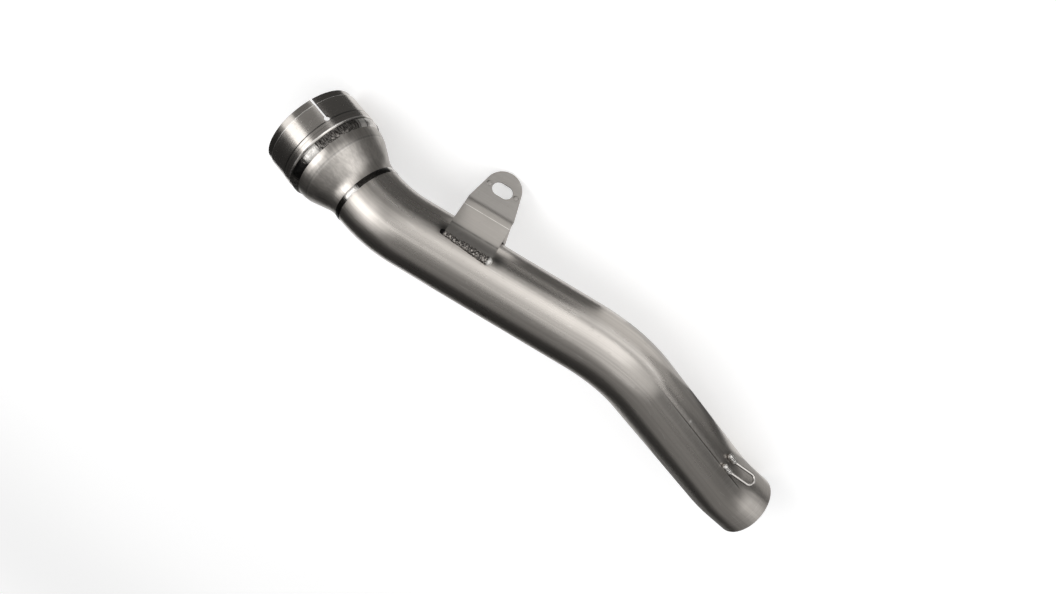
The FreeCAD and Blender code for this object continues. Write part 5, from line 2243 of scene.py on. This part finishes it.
class Finishes:
    """The finishes of the pipe's parts, in millimetres and degrees."""

    def __init__(self, effects: Effects) -> None:
        """Make the materials.

        Args:
            effects: the effects that they share.
        """
        self.collar = SteelFinish(
            name="turned_collar", colour=(0.425, 0.401, 0.375), grain=Grain.ROUND,
            roughness=0.21, roughness_swing=0.02, grain_depth=0.000004,
            streaks=0.06, bands=0.04, scratches=0.35, heat=0.35, heat_reach=0.005,
            # light and dark lines along the lip, band and chamfer edges: painted highlight and painted shade
            lines=(
                LightAndShadeLine(Way.STATION, 5.45, 0.45, 1.0, 0.95, 0.4, 0.14),
                LightAndShadeLine(Way.STATION, 21.20, 0.60, 0.04, 0.95, 0.4),
                LightAndShadeLine(Way.STATION, 27.30, 0.55, 1.0, 0.72, 0.5, 0.08),
                LightAndShadeLine(Way.STATION, 24.10, 0.35, 0.12, 0.35, 0.5),
                LightAndShadeLine(Way.STATION, 28.75, 0.50, 0.05, 0.85, 0.5),
            ),
            steps=(ToneStep(Way.STATION, 4.6, 5.0, 1.35),),
            # painted shade: the collar darker round one clock angle along its whole length
            painted_light_patches=(PaintedLightPatch(80.0, 22.0, -22.0, 46.0, -0.40),)).make(effects)
        self.reducer = SteelFinish(
            name="spun_reducer", colour=(0.480, 0.453, 0.423), grain=Grain.LENGTHWISE,
            roughness=0.37, roughness_swing=0.02, grain_depth=0.000004,
            streaks=0.22, bands=0.12, scratches=1.2, marks=0.04, heat=0.25, heat_reach=0.005,
            # painted shade and a painted highlight across the shoulder
            lines=(
                LightAndShadeLine(Way.STATION, 43.5, 0.7, 0.14, 0.30, 0.8),
                LightAndShadeLine(Way.STATION, 44.8, 0.6, 0.85, 0.20, 0.8),
            ),
            # painted highlights by the neck and by the collar weld, with roughness raised as by rubbing
            painted_light_patches=(
                PaintedLightPatch(141.0, 24.0, 57.0, 80.0, 0.80, 0.04),
                PaintedLightPatch(143.0, 19.0, 30.0, 42.0, 0.85, 0.06),
            )).make(effects)
        self.tube = SteelFinish(
            name="brushed_tube", colour=(0.520, 0.490, 0.457), grain=Grain.LENGTHWISE,
            roughness=0.28, roughness_swing=0.02, grain_depth=0.000004,
            streaks=0.16, bands=0.08, scratches=1.2, marks=0.04, heat=0.25, heat_reach=0.006,
            seam_clock=114.0, seam_start=300.0, seam_end=452.0, ground_end=487.0,
            # painted highlights near the neck and near the outlet, with roughness raised as by rubbing
            painted_light_patches=(
                PaintedLightPatch(141.0, 26.0, 50.0, 100.0, 0.42, 0.12),
                PaintedLightPatch(124.0, 14.0, 425.0, 500.0, 0.10, 0.05),
            ),
            # darker spots at the foot bead's ends, heat tint with a painted dark reflection; a small light
            # spot by the seam; a darker spot by the hook, heat tint with painted shade
            skin_spots=(
                SkinSpot(91.0, 132.5, 8.0, 0.07, 0.80),
                SkinSpot(94.0, 177.0, 8.5, 0.07, 0.70),
                SkinSpot(108.4, 359.5, 1.6, 0.95, 0.90),
                SkinSpot(93.0, 421.0, 12.0, 0.10, 0.45),
            )).make(effects)
        self.rear_sheet = SteelFinish(
            name="rolled_sheet", colour=(0.500, 0.474, 0.446), grain=Grain.ROLLED,
            roughness=0.42, roughness_swing=0.03, grain_depth=0.000006,
            streaks=0.08, bands=0.08, scratches=0.3, heat=0.4, heat_reach=0.008).make(effects)
        self.front_sheet = SteelFinish(
            name="pressed_sheet", colour=(0.375, 0.356, 0.335), grain=Grain.ROLLED,
            roughness=0.40, roughness_swing=0.02, grain_depth=0.000003,
            streaks=0.05, bands=0.04, scratches=0.3, marks=0.05, heat=0.3, heat_reach=0.005,
            # a painted highlight along the leg's upper bend and painted shade above the foot
            lines=(
                LightAndShadeLine(Way.SHEET_HEIGHT, 36.5, 0.50, 1.0, 0.80, 0.4),
                LightAndShadeLine(Way.SHEET_HEIGHT, 10.2, 1.8, 0.05, 0.50, 0.9),
            ),
            # painted light on the bends: the leg lighter than the foot and the ear
            steps=(
                ToneStep(Way.SHEET_HEIGHT, 37.5, 48.0, 0.66),
                ToneStep(Way.SHEET_HEIGHT, 8.0, 15.0, 1.46),
            )).make(effects)
        self.wire = SteelFinish(
            name="drawn_wire", colour=(0.57, 0.545, 0.52), grain=Grain.DRAWN,
            roughness=0.16, roughness_swing=0.03, grain_depth=0.000003,
            streaks=0.10, bands=0.1, scratches=0.4, heat=0.0,
            # painted shade on the wire's underside
            steps=(ToneStep(Way.SHEET_HEIGHT, -0.85, 0.0, 0.12),)).make(effects)
        self.collar_bead = BeadFinish(
            name="scaled_bead", colour=(0.30, 0.28, 0.26), scale_colour=(0.030, 0.028, 0.026), scale=1.0,
            roughness=0.34, depth=0.00010, glints=0.22, crust_blur=0.30,
            # painted highlights at three clock angles and painted shade at one
            painted_light_stretches=(
                PaintedBeadLight(139.0, 9.0, 0.80),
                PaintedBeadLight(164.0, 13.0, 0.02),
                PaintedBeadLight(66.0, 5.0, 0.80),
                PaintedBeadLight(46.0, 12.0, 0.80),
            ),
            stretch=(1.3, 1.3, 0.35)).make(effects)
        self.neck_bead = BeadFinish(
            name="black_bead", colour=(0.05, 0.046, 0.042), scale_colour=(0.016, 0.015, 0.014), scale=0.9,
            roughness=0.34, depth=0.00004, glints=0.05, crust_blur=0.10,
            # painted highlights at two clock angles across the dark bead
            painted_light_stretches=(PaintedBeadLight(137.5, 12.0, 0.80), PaintedBeadLight(47.0, 12.0, 0.80))).make(effects)
        self.foot_bead = BeadFinish(
            name="foot_bead", colour=(0.42, 0.39, 0.36), scale_colour=(0.030, 0.028, 0.026), scale=1.0,
            roughness=0.40, depth=0.00012, glints=0.65, crust_blur=0.25,
            stretch=(1.2, 1.2, 0.8),
            # a painted highlight at the bead's far end and a painted dark reflection at its start
            steps=(
                ToneStep(Way.STATION, 37.2, 39.2, 0.88),
                ToneStep(Way.STATION, 1.6, 0.4, 0.012),
            )).make(effects)
        self.heel_bead = BeadFinish(
            name="heel_bead", colour=(0.10, 0.093, 0.086), scale_colour=(0.020, 0.019, 0.018), scale=0.9,
            roughness=0.40, depth=0.00010, glints=0.10, crust_blur=0.20,
            stretch=(1.2, 1.2, 0.8)).make(effects)
        self.hook_bead = BeadFinish(
            name="bright_bead", colour=(0.92, 0.90, 0.87), scale_colour=(0.30, 0.285, 0.265), scale=0.50,
            roughness=0.10, depth=0.00016, glints=0.4, crust_blur=0.06).make(effects)


# Studio


BLACK = (0.0, 0.0, 0.0, 1.0)
WHITE = (1.0, 1.0, 1.0, 1.0)


@dataclass(frozen=True)
class Softbox:
    """A large soft lamp that looks at the pipe."""

    name: str
    azimuth: float
    elevation: float
    distance: float
    width: float
    height: float
    radiance: float

    def hang(self, aim: Vector) -> None:
        """Hang the lamp so that it faces a point.

        Args:
            aim: the point.
        """
        azimuth = radians(self.azimuth)
        elevation = radians(self.elevation)
        flat = cos(elevation)
        way = Vector((cos(azimuth) * flat, sin(azimuth) * flat, sin(elevation)))
        data = bpy.data.lights.new(self.name, "AREA")
        data.shape = "RECTANGLE"
        data.size = self.width
        data.size_y = self.height
        data.energy = 4.0 * self.radiance * self.width * self.height
        lamp = linked(self.name, data)
        lamp.location = aim + way * self.distance
        lamp.rotation_mode = "QUATERNION"
        lamp.rotation_quaternion = way.to_track_quat("Z", "Y")


def glossy_only(card: bpy.types.Object, shade: float) -> None:
    """Make a card that only shows as a reflection in the metal.

    Args:
        card: the card.
        shade: how light it looks there.
    """
    card.data.materials.append(Surface(card.name).finish(
        Base_Color=BLACK, Roughness=1.0, Specular_IOR_Level=0.0, Emission_Color=(1.0, 0.99, 0.975, 1.0),
        Emission_Strength=shade))
    card.visible_camera = False
    card.visible_diffuse = False
    card.visible_shadow = False
    card.visible_transmission = False
    card.visible_volume_scatter = False


@dataclass(frozen=True)
class FloorCard:
    """A card that lies on the floor beside the pipe."""

    name: str
    left: float
    right: float
    back: float
    front: float
    shade: float
    height: float

    def lay(self) -> None:
        """Lay the card down."""
        corners = [
            (self.left, self.back, self.height), (self.right, self.back, self.height),
            (self.right, self.front, self.height), (self.left, self.front, self.height)]
        glossy_only(bare_shape(self.name, corners, [(0, 1, 2, 3)]), self.shade)


@dataclass(frozen=True)
class Screen:
    """A bent screen round the pipe, as a part of a ball."""

    name: str
    first_azimuth: float
    last_azimuth: float
    top_elevation: float
    distance: float
    shade: float
    columns: int = 48
    rows: int = 12
    lift: float = 0.004

    def stand(self) -> None:
        """Stand the screen up."""
        points = []
        for row in range(self.rows + 1):
            elevation = radians(self.top_elevation * row / self.rows)
            for column in range(self.columns + 1):
                share = column / self.columns
                azimuth = radians(self.first_azimuth + (self.last_azimuth - self.first_azimuth) * share)
                points.append((
                    self.distance * cos(azimuth) * cos(elevation),
                    self.distance * sin(azimuth) * cos(elevation),
                    self.distance * sin(elevation) + self.lift))
        faces = []
        width = self.columns + 1
        for row in range(self.rows):
            for column in range(self.columns):
                corner = row * width + column
                faces.append((corner, corner + 1, corner + 1 + width, corner + width))
        glossy_only(bare_shape(self.name, points, faces), self.shade)


@dataclass(frozen=True)
class Studio:
    """Floor, lamps, cards and camera."""

    eye: tuple[float, float, float] = (-35.26, 618.59, 629.71)
    forward: tuple[float, float, float] = (0.02032217, -0.71037624, -0.70352868)
    up: tuple[float, float, float] = (-0.53027216, 0.58888757, -0.60993678)
    lens: float = 37.5
    sensor: float = 36.0
    world_level: float = 0.50
    floor_colour: float = 0.80
    floor_glow: float = 0.40
    floor_reach: float = 8.0
    pale_reach: tuple[float, float] = (0.7, 2.0)
    aim: tuple[float, float, float] = (0.0, 0.0, 0.05)

    def camera(self) -> None:
        """Set the camera at the photograph's viewing angle."""
        data = bpy.data.cameras.new("Camera")
        data.lens = self.lens
        data.sensor_width = self.sensor
        data.clip_start = 0.01
        data.clip_end = 50.0
        camera = linked("Camera", data)
        back = -Vector(self.forward).normalized()
        up = Vector(self.up)
        up = (up - back * up.dot(back)).normalized()
        right = up.cross(back)
        turn = Matrix((right, up, back)).transposed().to_4x4()
        camera.matrix_world = Matrix.Translation(Vector(self.eye) * MM) @ turn
        bpy.context.scene.camera = camera

    def seen(self, board: Board) -> Socket:
        """Return 1 for rays that show the background: straight, mirrored or through glass."""
        rays = board.add("ShaderNodeLightPath").outputs
        seen = board.plus(rays["Is Camera Ray"], rays["Is Glossy Ray"])
        return board.math("ADD", seen, rays["Is Transmission Ray"], clamp=True)

    def floor(self) -> None:
        """Lay a wide pale floor that shows white and keeps the pipe's shadow."""
        reach = self.floor_reach
        corners = [(-reach, -reach, 0.0), (reach, -reach, 0.0), (reach, reach, 0.0), (-reach, reach, 0.0)]
        floor = bare_shape("floor", corners, [(0, 1, 2, 3)])
        board = Surface("floor_white")
        away = board.add("ShaderNodeVectorMath")
        away.operation = "LENGTH"
        board.feed(away.inputs[0], board.add("ShaderNodeNewGeometry").outputs["Position"])
        near = board.falling(away.outputs["Value"], *self.pale_reach)
        pale = (self.floor_colour, self.floor_colour, self.floor_colour, 1.0)
        glow = board.ranged(near, 0.0, 1.0, 1.0, self.floor_glow)
        floor.data.materials.append(board.finish(
            Base_Color=board.mixed(near, BLACK, pale), Roughness=1.0, Specular_IOR_Level=0.0,
            Emission_Color=WHITE, Emission_Strength=board.times(self.seen(board), glow)))

    def backdrop(self) -> None:
        """Make the world a plain level for light and white where it is seen."""
        world = bpy.data.worlds.new("World")
        bpy.context.scene.world = world
        world.use_nodes = True
        board = Board(world.node_tree)
        background = world.node_tree.nodes["Background"]
        background.inputs["Color"].default_value = WHITE
        strength = board.ranged(self.seen(board), 0.0, 1.0, self.world_level, 1.0, False)
        board.feed(background.inputs["Strength"], strength)

    def lamps(self) -> None:
        """Hang the lamps."""
        aim = Vector(self.aim)
        for softbox in (
                Softbox("WideSoftbox", 58.0, 41.0, 1.5, 2.8, 2.1, 0.50),
                Softbox("KeySoftbox", 68.0, 23.0, 1.45, 1.25, 0.95, 0.60),
                Softbox("LeftSoftbox", 158.0, 41.0, 1.5, 0.65, 0.80, 1.45),
                Softbox("TopSoftbox", 166.0, 59.0, 1.5, 1.30, 0.62, 0.92),
        ):
            softbox.hang(aim)

    def cards(self) -> None:
        """Lay and stand the cards that give the metal its dark reflections."""
        for card in (
                FloorCard("HangerCard", -0.098, -0.045, 0.080, 0.125, 1.0, 0.0014),
                FloorCard("CollarCard", -0.33, -0.152, 0.084, 1.2, 0.14, 0.0012),
                FloorCard("FrontLeftCard", -0.152, 0.035, 0.066, 1.2, 0.13, 0.0012),
                FloorCard("TubeCard", -0.05, 0.035, 0.138, 0.180, 0.40, 0.0014),
                FloorCard("BendFrontCard", 0.035, 0.137, 0.066, 0.20, 0.88, 0.0010),
                FloorCard("MiddleCard", 0.137, 0.26, 0.060, 0.148, 0.50, 0.0012),
                FloorCard("MiddleBackCard", 0.137, 0.26, 0.015, 0.060, 0.25, 0.0012),
                FloorCard("RightCard", 0.137, 1.45, -0.010, 0.148, 0.10, 0.0010),
                FloorCard("RightStripCard", 0.208, 1.45, -0.040, -0.010, 0.46, 0.0014),
                FloorCard("OutletCard", 0.137, 0.27, -0.13, -0.010, 0.90, 0.0012),
                FloorCard("BackRightCard", 0.145, 1.45, -1.4, -0.010, 0.22, 0.0008),
                FloorCard("BendCard", 0.06, 0.137, 0.03, 0.066, 0.64, 0.0008),
                FloorCard("BackMiddleCard", 0.06, 0.145, -0.45, 0.03, 0.62, 0.0006),
                FloorCard("BackLeftCard", -0.10, 0.06, -0.45, -0.01, 0.54, 0.0006),
                FloorCard("FarLeftCard", -1.45, -0.30, -1.4, 0.0, 0.04, 0.0004),
                FloorCard("FarBackCard", -0.30, 0.145, -1.4, -0.45, 0.04, 0.0002),
        ):
            card.lay()
        for screen in (
                Screen("BackScreen", -174.0, -59.0, 56.0, 1.6, 0.03),
                Screen("RightScreen", -59.0, 14.0, 21.0, 1.6, 0.10),
                Screen("Tent", 0.0, 360.0, 89.5, 3.0, 0.26),
        ):
            screen.stand()


# Assembly


def ring_beads() -> list[RingBead]:
    """List the beads round the pipe: behind the collar and at the neck.

    Returns:
        The beads.
    """
    return [
        RingBead("collar_bead", (28.8, 37.9), (35.8, 36.65), 7.5, 1.7, 0.16, 0.16, 1.3),
        RingBead("neck_bead", (67.3, 27.0), (71.7, 27.0), 6.6, 1.5, 0.07, 0.05, 5.1),
    ]


def hanger_beads(sizes: HangerSizes) -> list[LaidBead]:
    """List the hanger's beads: along the end of the foot, and behind the rear sheet.

    Args:
        sizes: the hanger's sizes.

    Returns:
        The beads, in the hanger's frame.
    """
    depth = sizes.tube_radius - 0.5
    ends = []
    for clock, across in ((75.0, -20.4), (79.5, 17.6)):
        angle = radians(clock)
        ends.append((across, -depth * sin(angle), depth * cos(angle)))
    middle = radians(77.0)
    return [
        LaidBead(
            "hanger_foot_bead", ends[0], ends[1], (0.0, -sin(middle), cos(middle)),
            2.3, 3.6, 2.0, 0.22, 0.18, 12.4),
        LaidBead(
            "hanger_heel_bead", (-16.4, 1.5, 27.0), (19.6, 1.5, 27.0), (0.0, 0.7, 0.7),
            2.6, 2.6, 2.0, 0.2, 0.15, 17.9),
    ]


def weld_map(
        line: CentreLine,
        hanger_frame: Place,
        hanger: Sequence[LaidBead],
        hook_frame: Place,
        hook: Sequence[LaidBead]) -> WeldMap:
    """Find where all the beads lie.

    Args:
        line: the centre line.
        hanger_frame: the hanger's frame.
        hanger: its beads.
        hook_frame: the hook's frame.
        hook: its beads.

    Returns:
        The beads' lines in the floor's frame.
    """
    rings = []
    for bead in ring_beads():
        middle = line.at((bead.low[0] + bead.high[0]) / 2.0)
        rings.append((middle.origin, middle.z, (bead.low[1] + bead.high[1]) / 2.0))
    lines = []
    for place, beads in ((hanger_frame, hanger), (hook_frame, hook)):
        for bead in beads:
            lines.append((place.point(bead.start), place.point(bead.end)))
    return WeldMap(tuple(rings), tuple(lines))


def main() -> None:
    """Build the pipe from its mouth to its outlet and set up the studio."""
    logging.basicConfig(level=logging.INFO, format="%(name)s %(message)s")
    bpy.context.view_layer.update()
    line = CentreLine(CentreLineSizes())
    hanger = HangerSizes()
    hook = SpringHook()
    hook_place = hook.place(line)
    hanger_frame = hanger.place(line)
    laid = hanger_beads(hanger)
    welds = weld_map(line, hanger_frame, laid, hook_place, hook.beads())
    finishes = Finishes(Effects())

    own(InletCollar().build(line, welds), "inlet_collar", Slot.COLLAR, finishes.collar)
    own(Reducer().build(line, welds), "reducer_cone", Slot.REDUCER, finishes.reducer)
    own(BentTube().build(line, welds), "main_tube", Slot.TUBE, finishes.tube)
    own(RearSheet(hanger).build(hanger_frame, welds), "bracket_plate", Slot.SHEET, finishes.rear_sheet)
    own(FrontSheet(hanger).build(hanger_frame, welds), "bracket_brace", Slot.SHEET, finishes.front_sheet)
    own(hook.build(line), "spring_hook", Slot.WIRE, finishes.wire)
    for ring, finish in zip(ring_beads(), (finishes.collar_bead, finishes.neck_bead)):
        own(ring.build(line), "weld_beads", Slot.BEAD, finish)
    for bead, finish in zip(laid, (finishes.foot_bead, finishes.heel_bead)):
        own(bead.build(hanger_frame), "weld_beads", Slot.BEAD, finish)
    for bead in hook.beads():
        own(bead.build(hook_place), "weld_beads", Slot.HOOK_BEAD, finishes.hook_bead)

    studio = Studio()
    studio.camera()
    studio.floor()
    studio.backdrop()
    studio.lamps()
    studio.cards()
    bpy.context.scene.view_settings.view_transform = "Standard"


if __name__ == "__main__":
    main()
